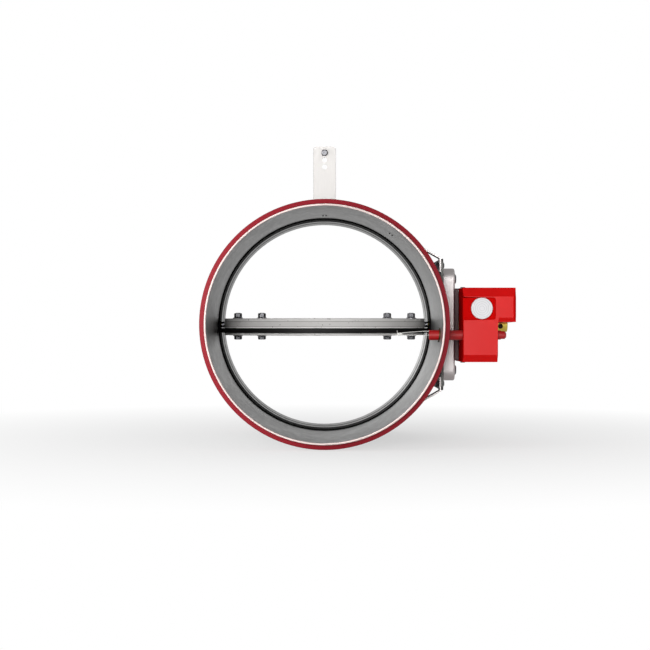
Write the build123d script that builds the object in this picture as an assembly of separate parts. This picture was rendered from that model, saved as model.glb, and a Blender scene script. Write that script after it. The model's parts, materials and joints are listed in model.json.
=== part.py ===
"""Round fire damper for a 315 mm duct, as an assembly of separate pieces.

The origin is where the duct's axis crosses the blade's pivot axis. +X points along the
pivot axis to the release mechanism, +Y along the duct away from the inlet, and +Z up.
The blade is drawn open, lying in the plane of the duct's axis. All sizes are in mm.
"""

from math import acos, atan2, cos, degrees, radians, sin
import os

from build123d import *

# Clearances
seat_gap = 0.05
running_gap = 0.05
plate_gap = 0.3
hole_gap = 0.3

# Tunnel
tunnel_outer_radius = 155.55
tunnel_sheet = 1.25
tunnel_length = 375.0
pivot_from_inlet = 247.0
hem_length = 7.0
bead_from_outlet = 51.0
bead_width = 12.0
bead_height = 2.5

# Duct seals, two soft lips on a band
seal_band_thickness = 1.8
seal_band_width = 17.0
seal_lip_reach = 6.6
seal_lip_thickness = 1.9
seal_lip_pitch = 8.0
seal_lip_lean = 4.0

# Swelling strip inside the tunnel
strip_thickness = 2.0
strip_width = 40.0

# Blade
blade_seal_gap = 0.9
blade_seal_overhang = 4.9
front_board_thickness = 4.6
core_board_thickness = 6.9
rear_board_thickness = 2.5
blade_seal_thickness = 6.5
backing_plate_thickness = 3.6
core_above_pivot = 4.0
spacer_margin = 14.6
blade_bolt_margin = 19.6
blade_bolt_pitch = 35.0
blade_bolt_radius = 3.0
hex_across_flats = 10.0
flange_radius = 7.5
flange_skirt = 2.4
flange_rim = 0.8
hex_crown = 2.2
bolt_head_height = 6.6
lock_nut_height = 8.0

# Blade shafts
shaft_radius = 4.25
palm_length = 62.8
palm_width = 20.0
palm_end_gap = 3.7
crank_square = 6.0

# Bushes
bush_wall = 0.75
bush_inner_reach = 4.5
bush_flange_radius = 8.0
bush_flange_thickness = 1.5
bush_tail = 1.5
idler_cap_wall = 2.0
idler_cap_depth = 5.85
idler_shaft_reach = 4.35
idler_cap_edge = 1.5

# Saddle that carries the transmission
saddle_clearance = 1.65
saddle_thickness = 3.0
saddle_half_height = 89.0
saddle_front = -171.0
saddle_back = 30.0
saddle_corner_radius = 6.0
leg_thickness = 2.0
leg_width = 24.0
leg_flange_height = 18.0
leg_foot_start_angle = 51.5
leg_foot_end_angle = 58.5
saddle_screw_radius = 2.5
saddle_screw_from_edge = 9.0
saddle_screw_tip = 4.5
saddle_head_radius = 4.5
saddle_head_height = 2.2
saddle_nut_flats = 8.0
saddle_nut_height = 4.0

# Transmission housing
standoff = 2.5
pan_sheet = 1.5
pan_depth = 14.1
pan_front = -146.0
pan_back = 25.0
pan_margin = 12.0
pan_corner_radius = 14.0
pan_screw_radius = 3.0
pan_screw_margin = 14.5
pan_screw_inset = 15.0
pan_screw_head_radius = 7.3
pan_screw_head_height = 2.6
pan_nut_flats = 10.0
pan_nut_height = 5.0
pan_spacer_wall = 1.9
standoff_wall = 4.0

# Linkage in the transmission housing
output_axis_y = -120.0
crank_radius = 20.0
crank_rest_angle = 45.0
crank_thickness = 3.5
crank_base_gap = 1.1
crank_hub_radius = 8.0
crank_eye_radius = 5.0
crank_pin_radius = 3.0
open_pivot_gap = 0.3
rod_thickness = 3.0
rod_gap = 0.5
rod_eye_radius = 5.0
rod_half_width = 4.0
pin_head_radius = 4.2
pin_head_thickness = 1.4
crank_screw_radius = 4.6
crank_screw_height = 1.6

# Stops of the blade's crank
stop_radius = 4.0
stop_along_crank = 12.0
stop_below_rod = 1.0
stop_rivet_radius = 1.6
stop_rivet_head_radius = 3.0
stop_rivet_head_height = 1.2

# Mechanism base
base_thickness = 4.8
base_front = -146.0
base_back = -96.0
base_half_height = 49.3
base_wall = 2.5
base_screw_radius = 2.0
base_screw_head_radius = 3.8
base_screw_head_height = 2.4
base_screw_front_inset = 12.0
base_screw_front_height = 28.0
base_screw_back_inset = 7.0
base_screw_back_height = 22.0
output_shaft_radius = 5.0
output_bush_wall = 2.0
output_bush_flange_radius = 12.5
output_bush_flange_thickness = 2.5

# Mechanism cover
cover_wall = 2.5
cover_front = -201.0
cover_top_drop = 0.2
cover_bottom_drop = 0.9
cover_width = 46.4
cover_draft = 1.0
cover_corner_radius = 2.0
block_width = 24.5
block_bottom = 3.3
top_bevel_height = 12.0
top_bevel_depth = 8.0
bottom_bevel_height = 9.7
bottom_bevel_depth = 6.5
block_bevel_height = 5.8
block_bevel_depth = 4.0
recess_depth = 5.0
recess_bottom = 6.2
recess_top = 35.9
recess_right_margin = 2.9
cover_screw_radius = 1.75
cover_screw_head_radius = 3.5
cover_screw_head_height = 2.0
cover_tab_width = 12.0
cover_tab_length = 12.0
cover_tab_thickness = 3.0

# Release button
button_radius = 14.3
button_x_from_base = 26.2
button_height = 21.4
button_length = 9.2
button_flange_radius = 16.8
button_flange_thickness = 2.0
button_stem_radius = 5.0
button_stem_length = 22.1
button_proud = 0.5
button_ring_pitch = 2.8
button_ring_depth = 0.4
button_ring_margin = 2.2
button_ring_width = 0.9
button_edge = 1.2
sleeve_gap = 0.4
sleeve_wall = 2.0
sleeve_depth = 19.5
retainer_thickness = 2.0
button_spring_wire = 0.6
button_spring_radius = 12.0

# Latch
latch_pivot_y = -138.0
latch_pivot_z = 40.7
latch_pin_radius = 2.5
latch_pad_radius = 3.0
latch_pad_above_button = 3.0
latch_hub_radius = 6.0
latch_thickness = 4.0
latch_nose_radius = 2.0
latch_nose_gap = 0.4
cam_radius = 12.0
cam_thickness = 7.0
cam_notch_width = 4.2
cam_notch_depth = 3.0
bracket_sheet = 2.0
bracket_half_height = 6.0
bracket_side_gap = 2.4
bracket_nose = 5.0
bracket_rivet_radius = 1.5
bracket_rivet_head_radius = 1.95
bracket_rivet_head_height = 1.2

# Closing spring
closing_spring_wire = 1.1
closing_spring_radius = 10.2
closing_spring_turns = 4.5

# Reset hub
hub_radius = 10.5
hub_wall_gap = 1.8
hub_length = 20.0
hub_key_radius = 3.4
hub_key_drop = 2.5
hub_key_from_end = 9.9
hub_end_wall = 2.0
hub_edge = 1.0

# Fuse
fuse_y = -191.0
fuse_z = -14.2
fuse_tube_radius = 6.7
fuse_tube_wall = 1.5
fuse_start_margin = 7.2
fuse_tip_wall = 4.0
fuse_cap_length = 11.8
fuse_cap_radius = 5.3
fuse_cap_bevel = 2.2
fuse_rod_radius = 1.5
fuse_leaf_reach = 49.8
fuse_leaf_width = 9.0
fuse_leaf_thickness = 0.6
fuse_upper_width = 6.0
fuse_upper_height = 5.2
fuse_upper_hold = 3.0
fuse_upper_end_height = 2.6
fuse_upper_end_margin = 7.8
fuse_upper_bend_from_tube = 7.7
fuse_spike_height = 3.4
fuse_solder_length = 7.0
fuse_spring_wire = 0.5
fuse_spring_radius = 4.0
fuse_spring_length = 26.0
fuse_collar_length = 4.0
grommet_neck = 1.2
grommet_flange = 1.6
grommet_thickness = 1.2

# Fixing tab
tab_back_y = -64.0
tab_width = 32.0
tab_thickness = 2.0
tab_top = 253.0
tab_corner = 3.0
tab_foot_length = 22.0
tab_hole_radius = 3.6
tab_top_hole_margin = 9.0
tab_hole_pitch = 10.0
tab_screw_head_radius = 4.75
tab_screw_head_height = 2.6
tab_screw_radius = 2.4
tab_screw_length = 45.0
tab_screw_recess_radius = 1.9

# Sizes that follow from those above
tunnel_inner_radius = tunnel_outer_radius - tunnel_sheet
tunnel_inlet = -pivot_from_inlet
tunnel_outlet = tunnel_inlet + tunnel_length
bead_y = tunnel_outlet - bead_from_outlet
strip_inner_radius = tunnel_inner_radius - strip_thickness
blade_seal_radius = strip_inner_radius - blade_seal_gap
board_radius = blade_seal_radius - blade_seal_overhang
spacer_radius = board_radius - spacer_margin

board_top = core_above_pivot + front_board_thickness
core_bottom = core_above_pivot - core_board_thickness
seal_top = core_bottom - rear_board_thickness
seal_bottom = seal_top - blade_seal_thickness
backing_bottom = seal_bottom - backing_plate_thickness
palm_end = board_radius - palm_end_gap
outer_bolt = board_radius - blade_bolt_margin
bolt_places = (outer_bolt - blade_bolt_pitch, outer_bolt)

bush_outer_radius = shaft_radius + bush_wall
bush_inner_end = board_radius + bush_inner_reach
saddle_inner = tunnel_outer_radius + saddle_clearance
saddle_outer = saddle_inner + saddle_thickness
pan_half_height = saddle_half_height - pan_margin
pan_screw_height = pan_half_height - pan_screw_margin
pan_inner = saddle_outer + standoff + pan_sheet
pan_outer = pan_inner + pan_depth
pan_screw_places = (pan_front + pan_screw_inset, pan_back - pan_screw_inset)

crank_start = pan_inner + crank_base_gap
crank_end = crank_start + crank_thickness
rod_start = crank_end + rod_gap
rod_end = rod_start + rod_thickness
crank_pin_y = crank_radius * cos(radians(crank_rest_angle))
crank_pin_z = crank_radius * sin(radians(crank_rest_angle))

base_outer = pan_outer + base_thickness
cover_top = base_half_height - cover_top_drop
cover_bottom = -base_half_height - cover_bottom_drop
base_wall_half = base_half_height - cover_wall - plate_gap
cover_left = base_outer + cover_draft
cover_right = cover_left + cover_width
block_right = cover_right + block_width
cover_back = base_back
draft_angle = degrees(atan2(cover_draft, cover_back - cover_front))
recess_floor = cover_front + recess_depth
recess_right = cover_right - recess_right_margin
bush_flange_end = base_outer + output_bush_flange_thickness

button_x = base_outer + button_x_from_base
button_face = cover_front + button_proud
button_back = button_face + button_length
stem_end = button_back + button_stem_length
floor_back = recess_floor + cover_wall
sleeve_inner_radius = button_flange_radius + sleeve_gap
sleeve_outer_radius = sleeve_inner_radius + sleeve_wall
sleeve_end = floor_back + sleeve_depth

cam_start = button_x - cam_thickness / 2
cam_end = cam_start + cam_thickness
latch_start = button_x - latch_thickness / 2
nose_centre = cam_radius + latch_nose_gap + latch_nose_radius
pad_y = stem_end + plate_gap + latch_pad_radius
pad_z = button_height + latch_pad_above_button

hub_start = cover_right + hub_wall_gap
hub_end = hub_start + hub_length
fuse_start = board_radius - fuse_start_margin
fuse_cap_end = cover_right + fuse_cap_length


def box_between(x0, x1, y0, y1, z0, z1):
    """A block between two corners."""
    centre = Pos((x0 + x1) / 2, (y0 + y1) / 2, (z0 + z1) / 2)
    return centre * Box(x1 - x0, y1 - y0, z1 - z0)


def bar_x(radius, x0, x1, y=0.0, z=0.0):
    """A round bar along X."""
    return Pos((x0 + x1) / 2, y, z) * Rot(0, 90, 0) * Cylinder(radius, x1 - x0)


def bar_y(radius, y0, y1, x=0.0, z=0.0):
    """A round bar along Y."""
    return Pos(x, (y0 + y1) / 2, z) * Rot(90, 0, 0) * Cylinder(radius, y1 - y0)


def bar_z(radius, z0, z1, x=0.0, y=0.0):
    """A round bar along Z."""
    return Pos(x, y, (z0 + z1) / 2) * Cylinder(radius, z1 - z0)


def tube_y(outer, inner, y0, y1, x=0.0, z=0.0):
    """A tube along Y."""
    return bar_y(outer, y0, y1, x, z) - bar_y(inner, y0 - 1, y1 + 1, x, z)


def tube_x(outer, inner, x0, x1, y=0.0, z=0.0):
    """A tube along X."""
    return bar_x(outer, x0, x1, y, z) - bar_x(inner, x0 - 1, x1 + 1, y, z)


def turned_x(points, y=0.0, z=0.0):
    """A body turned about a line along X, from points of (x, radius)."""
    profile = make_face(Polyline(*points, close=True))
    return Pos(0, y, z) * revolve(profile, Axis.X)


def slab_yz(outline, x0, x1):
    """A flat sketch in Y and Z, given its thickness along X."""
    return extrude(Plane.YZ.offset(x0) * outline, x1 - x0)


def slab_xz(outline, y0, y1):
    """A flat sketch in X and Z, given its thickness along Y."""
    return extrude(Plane.XZ.offset(-y1) * outline, y1 - y0)


def slab_xy(outline, z0, z1):
    """A flat sketch in X and Y, given its thickness along Z."""
    return extrude(Plane.XY.offset(z0) * outline, z1 - z0)


def joined(pieces):
    """Several separate solids as one group."""
    return Compound(children=[solid for piece in pieces for solid in piece.solids()])


def corner_box(width, height, radius, y=0.0, z=0.0):
    """A rectangle with round corners, centred at (y, z)."""
    return Pos(y, z) * RectangleRounded(width, height, radius)


def make_tunnel():
    """Sheet tube with a closed hem at each rim and a swaged bead near the outlet."""
    ri = tunnel_inner_radius
    ro = tunnel_outer_radius
    hem = ro + tunnel_sheet + seat_gap
    nose = (hem - ri) / 2
    middle = ri + nose
    y0 = tunnel_inlet
    y1 = tunnel_outlet
    b0 = bead_y - bead_width / 2
    b1 = bead_y + bead_width / 2
    outer_flank = tunnel_sheet * bead_width / (4 * bead_height + bead_width)
    lines = [
        ThreePointArc((ri, y0 + nose), (middle, y0), (hem, y0 + nose)),
        Line((hem, y0 + nose), (hem, y0 + hem_length)),
        Line((hem, y0 + hem_length), (ro, y0 + hem_length)),
        Line((ro, y0 + hem_length), (ro, b0 - outer_flank)),
        ThreePointArc((ro, b0 - outer_flank), (ro + bead_height, bead_y), (ro, b1 + outer_flank)),
        Line((ro, b1 + outer_flank), (ro, y1 - hem_length)),
        Line((ro, y1 - hem_length), (hem, y1 - hem_length)),
        Line((hem, y1 - hem_length), (hem, y1 - nose)),
        ThreePointArc((hem, y1 - nose), (middle, y1), (ri, y1 - nose)),
        Line((ri, y1 - nose), (ri, b1)),
        ThreePointArc((ri, b1), (ri + bead_height, bead_y), (ri, b0)),
        Line((ri, b0), (ri, y0 + nose)),
    ]
    tube = revolve(make_face(Wire(lines)), Axis.Y)
    far = tunnel_outer_radius + 10
    tube -= bar_x(bush_outer_radius + seat_gap, -far, far)
    tube -= bar_x(fuse_tube_radius + grommet_neck, 0, far, fuse_y, fuse_z)
    return tube


def lip_seal(rim, inward):
    """Soft band behind a hem with two lips that lean away from the rim."""
    base = tunnel_outer_radius + seat_gap
    crown = base + seal_band_thickness
    tip = crown + seal_lip_reach
    start = rim + inward * (hem_length + seat_gap)
    points = [(base, start), (crown, start)]
    for lip in range(2):
        root = start + inward * (1.0 + lip * seal_lip_pitch)
        lean = inward * seal_lip_lean
        thick = inward * seal_lip_thickness
        points += [
            (crown, root),
            (tip - 0.6, root + lean),
            (tip, root + lean + thick * 0.4),
            (tip - 0.5, root + lean + thick * 0.8),
            (crown, root + thick * 1.3),
        ]
    end = start + inward * seal_band_width
    points += [(crown, end), (base, end)]
    return revolve(make_face(Polyline(*points, close=True)), Axis.Y)


def make_strip():
    """Swelling strip on the tunnel wall around the closed blade."""
    half = strip_width / 2
    ring = tube_y(tunnel_inner_radius - seat_gap, strip_inner_radius, -half, half)
    far = tunnel_outer_radius
    ring -= bar_x(bush_flange_radius + hole_gap, -far, far)
    return ring


def stop_places():
    """Where the crank's flanks come to rest, at the open and the closed end, in Y and Z."""
    flank = radians(crank_rest_angle) - acos((crank_hub_radius - crank_eye_radius) / crank_radius)
    reach = crank_hub_radius + plate_gap + stop_radius
    y = reach * cos(flank) - stop_along_crank * sin(flank)
    z = reach * sin(flank) + stop_along_crank * cos(flank)
    return [(y, z), (-y, z)]


def make_stops():
    """Round stops inside the housing, which the blade's crank meets at both ends of its turn."""
    end = rod_start - stop_below_rod
    bore = stop_rivet_radius + seat_gap
    return joined([tube_x(stop_radius, bore, pan_inner, end, y, z) for y, z in stop_places()])


def make_stop_rivets():
    """Rivets that hold the stops on the housing's back plate."""
    back = pan_inner - pan_sheet
    rivets = []
    for y, z in stop_places():
        shank = bar_x(stop_rivet_radius, back, rod_start - stop_below_rod - seat_gap, y, z)
        rivets.append(shank + bar_x(stop_rivet_head_radius, back - stop_rivet_head_height, back, y, z))
    return joined(rivets)


def make_bush(tail_end):
    """Flanged brass bush on the +X side, from inside the tunnel outwards."""
    bore = shaft_radius + running_gap
    flange_end = tunnel_inner_radius - 0.25
    flange_start = flange_end - bush_flange_thickness
    points = [
        (bush_inner_end, bore),
        (bush_inner_end, bush_outer_radius),
        (flange_start, bush_outer_radius),
        (flange_start, bush_flange_radius),
        (flange_end, bush_flange_radius),
        (flange_end, bush_outer_radius),
        (tail_end, bush_outer_radius),
        (tail_end, bore),
    ]
    return turned_x(points)


def make_idler_cap():
    """Cup welded over the idler bush outside the tunnel."""
    bore = bush_outer_radius + seat_gap
    outer = bore + idler_cap_wall
    inner_end = tunnel_outer_radius + idler_cap_depth
    cup = bar_x(outer, tunnel_inner_radius - outer, inner_end + idler_cap_wall)
    cup -= bar_x(bore, 0, inner_end)
    cup -= bar_y(tunnel_outer_radius + seat_gap, -2 * outer, 2 * outer)
    rim = cup.edges().filter_by(GeomType.CIRCLE).sort_by(Axis.X)[-1]
    return mirror(fillet(rim, idler_cap_edge), about=Plane.YZ)


def palm_outline(gap):
    """Flat end of a shaft, seen from above, with a round inner end."""
    width = palm_width + 2 * gap
    start = palm_end - palm_length
    bar = Pos((start + width / 2 + palm_end) / 2, 0) * Rectangle(palm_end - start - width / 2, width)
    return bar + Pos(start + width / 2 - gap, 0) * Circle(width / 2)


def blade_disc(radius, z0, z1):
    """One round layer of the blade with its bolt holes."""
    disc = bar_z(radius, z0, z1)
    for x in bolt_places:
        for side in (-1, 1):
            disc -= bar_z(blade_bolt_radius + hole_gap, z0 - 1, z1 + 1, side * x)
    return disc


def shaft_notch(z0, z1):
    """Slots in a board's rim that let the two round shafts out."""
    half = shaft_radius + 1.0
    notch = box_between(palm_end - seat_gap, board_radius + 5, -half, half, z0 - 1, z1 + 1)
    return [notch, mirror(notch, about=Plane.YZ)]


def make_front_board():
    """Upper board of the blade."""
    board = blade_disc(board_radius, core_above_pivot, board_top)
    for notch in shaft_notch(core_above_pivot, board_top):
        board -= notch
    return board


def make_core_board():
    """Middle board, slotted for the flat ends of both shafts."""
    board = blade_disc(board_radius, core_bottom, core_above_pivot)
    slot = slab_xy(palm_outline(seat_gap), core_bottom - 1, core_above_pivot + 1)
    slot += box_between(palm_end - 1, board_radius + 5, -palm_width / 2 - seat_gap, palm_width / 2 + seat_gap,
                        core_bottom - 1, core_above_pivot + 1)
    board -= slot
    board -= mirror(slot, about=Plane.YZ)
    return board


def make_rear_board():
    """Thin board below the core."""
    board = blade_disc(board_radius, seal_top, core_bottom)
    for notch in shaft_notch(seal_top, core_bottom):
        board -= notch
    return board


def make_blade_seal():
    """Rubber ring clamped under the boards, wider than they are."""
    ring = bar_z(blade_seal_radius, seal_bottom, seal_top)
    return ring - bar_z(spacer_radius + seat_gap, seal_bottom - 1, seal_top + 1)


def make_shaft():
    """Steel shaft on the +X side with a flat palm, without its outer end."""
    palm = slab_xy(palm_outline(0), core_bottom, core_above_pivot)
    for x in bolt_places:
        palm -= bar_z(blade_bolt_radius + hole_gap, core_bottom - 1, core_above_pivot + 1, x)
    return palm


def make_drive_shaft():
    """Shaft on the mechanism's side, squared at its end for the crank."""
    round_end = crank_start
    shaft = make_shaft() + bar_x(shaft_radius, palm_end, round_end)
    half = crank_square / 2
    return shaft + box_between(round_end, crank_end, -half, half, -half, half)


def make_idler_shaft():
    """Shaft on the far side, ending inside its bush."""
    shaft = make_shaft() + bar_x(shaft_radius, palm_end, tunnel_outer_radius + idler_shaft_reach)
    return mirror(shaft, about=Plane.YZ)


def flanged_hex(z_seat, height, direction):
    """Hexagon with a sloping round flange, standing on a seat along Z."""
    skirt = flange_skirt
    rim = flange_rim
    points = [
        (0, 0),
        (flange_radius, 0),
        (flange_radius, rim),
        (hex_across_flats / 2, skirt),
        (0, skirt),
    ]
    flange = revolve(Plane.XZ * make_face(Polyline(*points, close=True)), Axis.Z)
    prism = slab_xy(RegularPolygon(hex_across_flats / 2, 6, major_radius=False), rim, height)
    crown = Cone(hex_across_flats * 0.68, hex_across_flats * 0.48, hex_crown,
                 align=(Align.CENTER, Align.CENTER, Align.MAX))
    prism &= bar_z(hex_across_flats, 0, height - hex_crown) + Pos(0, 0, height) * crown
    body = flange + prism
    if direction < 0:
        body = mirror(body, about=Plane.XY)
    return Pos(0, 0, z_seat) * body


def make_blade_bolts():
    """Flange bolts that clamp the whole blade to the palms, heads below."""
    bolts = []
    for side in (-1, 1):
        for x in bolt_places:
            head = flanged_hex(backing_bottom, bolt_head_height, -1)
            shank = bar_z(blade_bolt_radius, backing_bottom - 1, board_top + lock_nut_height + 0.5)
            bolts.append(Pos(side * x, 0, 0) * (head + shank))
    return joined(bolts)


def make_blade_nuts():
    """Flanged lock nuts on top of the blade."""
    nuts = []
    for side in (-1, 1):
        for x in bolt_places:
            nut = flanged_hex(board_top, lock_nut_height, 1)
            nut -= bar_z(blade_bolt_radius + seat_gap, board_top - 1, board_top + lock_nut_height + 1)
            nuts.append(Pos(side * x, 0, 0) * nut)
    return joined(nuts)


def saddle_screw_places():
    """Where the saddle plate is screwed to its legs, in Y and Z."""
    y_front = saddle_front + leg_width / 2
    y_back = saddle_back - leg_width / 2
    z = saddle_half_height - saddle_screw_from_edge
    return [(y, s * z) for y in (y_front, y_back) for s in (-1, 1)]


def pan_screw_points():
    """Where the transmission housing is screwed to the saddle plate."""
    return [(y, s * pan_screw_height) for y in pan_screw_places for s in (-1, 1)]


def make_saddle_plate():
    """Flat plate beside the tunnel that carries the housing."""
    width = saddle_back - saddle_front
    middle = (saddle_back + saddle_front) / 2
    outline = corner_box(width, 2 * saddle_half_height, saddle_corner_radius, middle, 0)
    plate = slab_yz(outline, saddle_inner, saddle_outer)
    x0, x1 = saddle_inner - 1, saddle_outer + 1
    plate -= bar_x(bush_outer_radius + seat_gap, x0, x1)
    for y, z in saddle_screw_places():
        plate -= bar_x(saddle_screw_radius + seat_gap, x0, x1, y, z)
    for y, z in pan_screw_points():
        plate -= bar_x(pan_screw_radius + seat_gap, x0, x1, y, z)
    return plate


def make_saddle_legs():
    """Bent strips from the plate's corners down to the tunnel, where they are welded."""
    half = leg_thickness / 2
    flange_x = saddle_inner - half
    foot_radius = tunnel_outer_radius + seat_gap + half

    def on_tunnel(angle):
        return (foot_radius * cos(radians(angle)), foot_radius * sin(radians(angle)))

    low = (flange_x, saddle_half_height - leg_flange_height)
    corner = (flange_x, saddle_half_height + half)
    foot = on_tunnel(leg_foot_start_angle)
    middle = on_tunnel((leg_foot_start_angle + leg_foot_end_angle) / 2)
    toe = on_tunnel(leg_foot_end_angle)
    outline = Sketch()
    for line in (Line(low, corner), Line(corner, foot), ThreePointArc(foot, middle, toe)):
        outline += trace(line, leg_thickness)
    for bend in (corner, foot):
        outline += Pos(*bend) * Circle(half)
    legs = []
    for y0 in (saddle_front, saddle_back - leg_width):
        leg = slab_xz(outline, y0, y0 + leg_width)
        leg -= bar_y(tunnel_outer_radius + seat_gap, y0 - 1, y0 + leg_width + 1)
        z = saddle_half_height - saddle_screw_from_edge
        leg -= bar_x(saddle_screw_radius + seat_gap, flange_x - 5, flange_x + 5, y0 + leg_width / 2, z)
        legs += [leg, mirror(leg, about=Plane.XY)]
    return joined(legs)


def make_saddle_screws():
    """Button-head screws through the saddle plate into the legs' nuts."""
    tip = saddle_inner - leg_thickness - saddle_screw_tip
    points = [
        (tip, 0),
        (tip, saddle_screw_radius * 0.84),
        (tip + saddle_screw_radius * 0.2, saddle_screw_radius),
        (saddle_outer, saddle_screw_radius),
        (saddle_outer, saddle_head_radius),
        (saddle_outer + saddle_head_height / 2, saddle_head_radius * 0.96),
        (saddle_outer + saddle_head_height, saddle_head_radius * 0.58),
        (saddle_outer + saddle_head_height, 0),
    ]
    return joined([turned_x(points, y, z) for y, z in saddle_screw_places()])


def hex_nut_x(radius, flats, x0, x1, y, z):
    """Plain nut on a screw along X."""
    outline = RegularPolygon(flats / 2, 6, major_radius=False) - Circle(radius + seat_gap)
    return Pos(0, y, z) * slab_yz(outline, x0, x1)


def make_saddle_nuts():
    """Nuts behind the legs' flanges."""
    end = saddle_inner - leg_thickness
    start = end - saddle_nut_height
    return joined([hex_nut_x(saddle_screw_radius, saddle_nut_flats, start, end, y, z)
                   for y, z in saddle_screw_places()])


def pan_outline(inset):
    """Round-cornered outline of the housing, in Y and Z."""
    width = pan_back - pan_front - 2 * inset
    middle = (pan_back + pan_front) / 2
    return corner_box(width, 2 * (pan_half_height - inset), pan_corner_radius - inset, middle, 0)


def base_screw_points():
    """Where the mechanism base is screwed to the housing, in Y and Z."""
    front_row = (base_front + base_screw_front_inset, base_screw_front_height)
    back_row = (base_back - base_screw_back_inset, base_screw_back_height)
    return [(y, s * z) for y, z in (front_row, back_row) for s in (-1, 1)]


def make_housing_back():
    """Plate that closes the housing on the side of the saddle."""
    plate = slab_yz(pan_outline(0), pan_inner - pan_sheet, pan_inner)
    x0, x1 = pan_inner - pan_sheet - 1, pan_inner + 1
    plate -= bar_x(shaft_radius + hole_gap, x0, x1)
    for y, z in pan_screw_points():
        plate -= bar_x(pan_screw_radius + seat_gap, x0, x1, y, z)
    for y, z in stop_places():
        plate -= bar_x(stop_rivet_radius + seat_gap, x0, x1, y, z)
    return plate


def make_pan():
    """Drawn sheet housing of the linkage, open towards the saddle."""
    shell = slab_yz(pan_outline(0), pan_inner, pan_outer)
    rim = shell.faces().sort_by(Axis.X)[-1].edges()
    shell = fillet(rim, pan_sheet * 1.6)
    cavity = slab_yz(pan_outline(pan_sheet), pan_inner - 1, pan_outer - pan_sheet)
    inner_rim = cavity.faces().sort_by(Axis.X)[-1].edges()
    shell -= fillet(inner_rim, pan_sheet * 0.6)
    x0, x1 = pan_outer - pan_sheet - 2, pan_outer + 1
    shell -= bar_x(output_shaft_radius + output_bush_wall + seat_gap, x0, x1, output_axis_y, 0)
    for y, z in pan_screw_points():
        shell -= bar_x(pan_screw_radius + seat_gap, x0, x1, y, z)
    for y, z in base_screw_points():
        shell -= bar_x(base_screw_radius + seat_gap, x0, x1, y, z)
    return shell


def make_pan_screws():
    """Flat-head screws that hold the housing on the saddle plate."""
    tip = saddle_inner - 6.0
    head = pan_outer + pan_screw_head_height
    points = [
        (tip, 0),
        (tip, pan_screw_radius - 0.5),
        (tip + 0.8, pan_screw_radius),
        (pan_outer, pan_screw_radius),
        (pan_outer, pan_screw_head_radius),
        (pan_outer + 1.0, pan_screw_head_radius),
        (head, pan_screw_head_radius - 2.4),
        (head, 0),
    ]
    return joined([turned_x(points, y, z) for y, z in pan_screw_points()])


def make_pan_nuts():
    """Nuts of those screws, inside the saddle plate."""
    start = saddle_inner - pan_nut_height
    return joined([hex_nut_x(pan_screw_radius, pan_nut_flats, start, saddle_inner, y, z)
                   for y, z in pan_screw_points()])


def make_pan_spacers():
    """Tubes around the screws, inside the housing."""
    inner = pan_screw_radius + seat_gap
    return joined([tube_x(inner + pan_spacer_wall, inner, pan_inner, pan_outer - pan_sheet, y, z)
                   for y, z in pan_screw_points()])


def make_standoffs():
    """Washers between the saddle plate and the housing."""
    inner = pan_screw_radius + seat_gap
    return joined([tube_x(inner + standoff_wall, inner, saddle_outer, saddle_outer + standoff, y, z)
                   for y, z in pan_screw_points()])


def crank_outline():
    """Lever with a hub at the origin and an eye at its pin, at rest angle."""
    hub = Circle(crank_hub_radius)
    eye = Pos(crank_pin_y, crank_pin_z) * Circle(crank_eye_radius)
    return make_hull(hub.edges() + eye.edges())


def make_crank(y, square):
    """Crank with its riveted pin, on a shaft at (y, 0)."""
    half = square / 2 + seat_gap
    crank = slab_yz(Pos(y, 0) * (crank_outline() - Rectangle(2 * half, 2 * half)), crank_start, crank_end)
    pin_y = y + crank_pin_y
    pin = bar_x(crank_pin_radius, crank_end - 1, rod_end + plate_gap, pin_y, crank_pin_z)
    head = bar_x(pin_head_radius, rod_end + plate_gap, rod_end + plate_gap + pin_head_thickness,
                 pin_y, crank_pin_z)
    return crank + pin + chamfer(head.edges().filter_by(GeomType.CIRCLE).sort_by(Axis.X)[-1], 0.5)


def make_push_rod():
    """Flat rod that joins the two cranks."""
    near = output_axis_y + crank_pin_y
    far = crank_pin_y
    outline = Pos((near + far) / 2, crank_pin_z) * Rectangle(far - near, 2 * rod_half_width)
    for y in (near, far):
        outline += Pos(y, crank_pin_z) * Circle(rod_eye_radius)
    outline -= Pos(near, crank_pin_z) * Circle(crank_pin_radius + running_gap)
    outline -= Pos(far, crank_pin_z) * Circle(crank_pin_radius + open_pivot_gap)
    return slab_yz(outline, rod_start, rod_end)


def make_crank_screw():
    """Screw in the end of the drive shaft that keeps the crank on."""
    top = crank_end + crank_screw_height
    points = [
        (crank_end, 0),
        (crank_end, crank_screw_radius),
        (top - 0.6, crank_screw_radius),
        (top, crank_screw_radius - 1.2),
        (top, 0),
    ]
    return turned_x(points)


def make_mechanism_base():
    """Moulded base: a side plate on the housing and a back wall behind the mechanism."""
    side = box_between(pan_outer, base_outer, base_front, base_back, -base_half_height, base_half_height)
    upright = side.edges().filter_by(Axis.X)
    side = fillet(upright, 3.0)
    half = base_wall_half
    back_end = cover_right - cover_wall - plate_gap
    wall = box_between(base_outer - 1, back_end, base_back - base_wall, base_back, -half, half)
    tab_x0 = base_outer + cover_wall + 1
    tab = box_between(tab_x0, tab_x0 + cover_tab_width, base_back - base_wall - cover_tab_length,
                      base_back - 1, half - cover_tab_thickness, half)
    tab -= bar_z(cover_screw_radius, 0, half + 1, *cover_screw_place())
    body = side + wall + tab + mirror(tab, about=Plane.XY)
    x0, x1 = pan_outer - 1, base_outer + 1
    body -= bar_x(output_shaft_radius + output_bush_wall + seat_gap, x0, x1, output_axis_y, 0)
    for y, z in base_screw_points():
        body -= bar_x(base_screw_radius + seat_gap, x0, x1, y, z)
    rivet_hole = bracket_rivet_radius + seat_gap
    body -= bar_y(rivet_hole, base_back - base_wall - 1, base_back + 1, button_x, latch_pivot_z)
    return body


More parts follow.
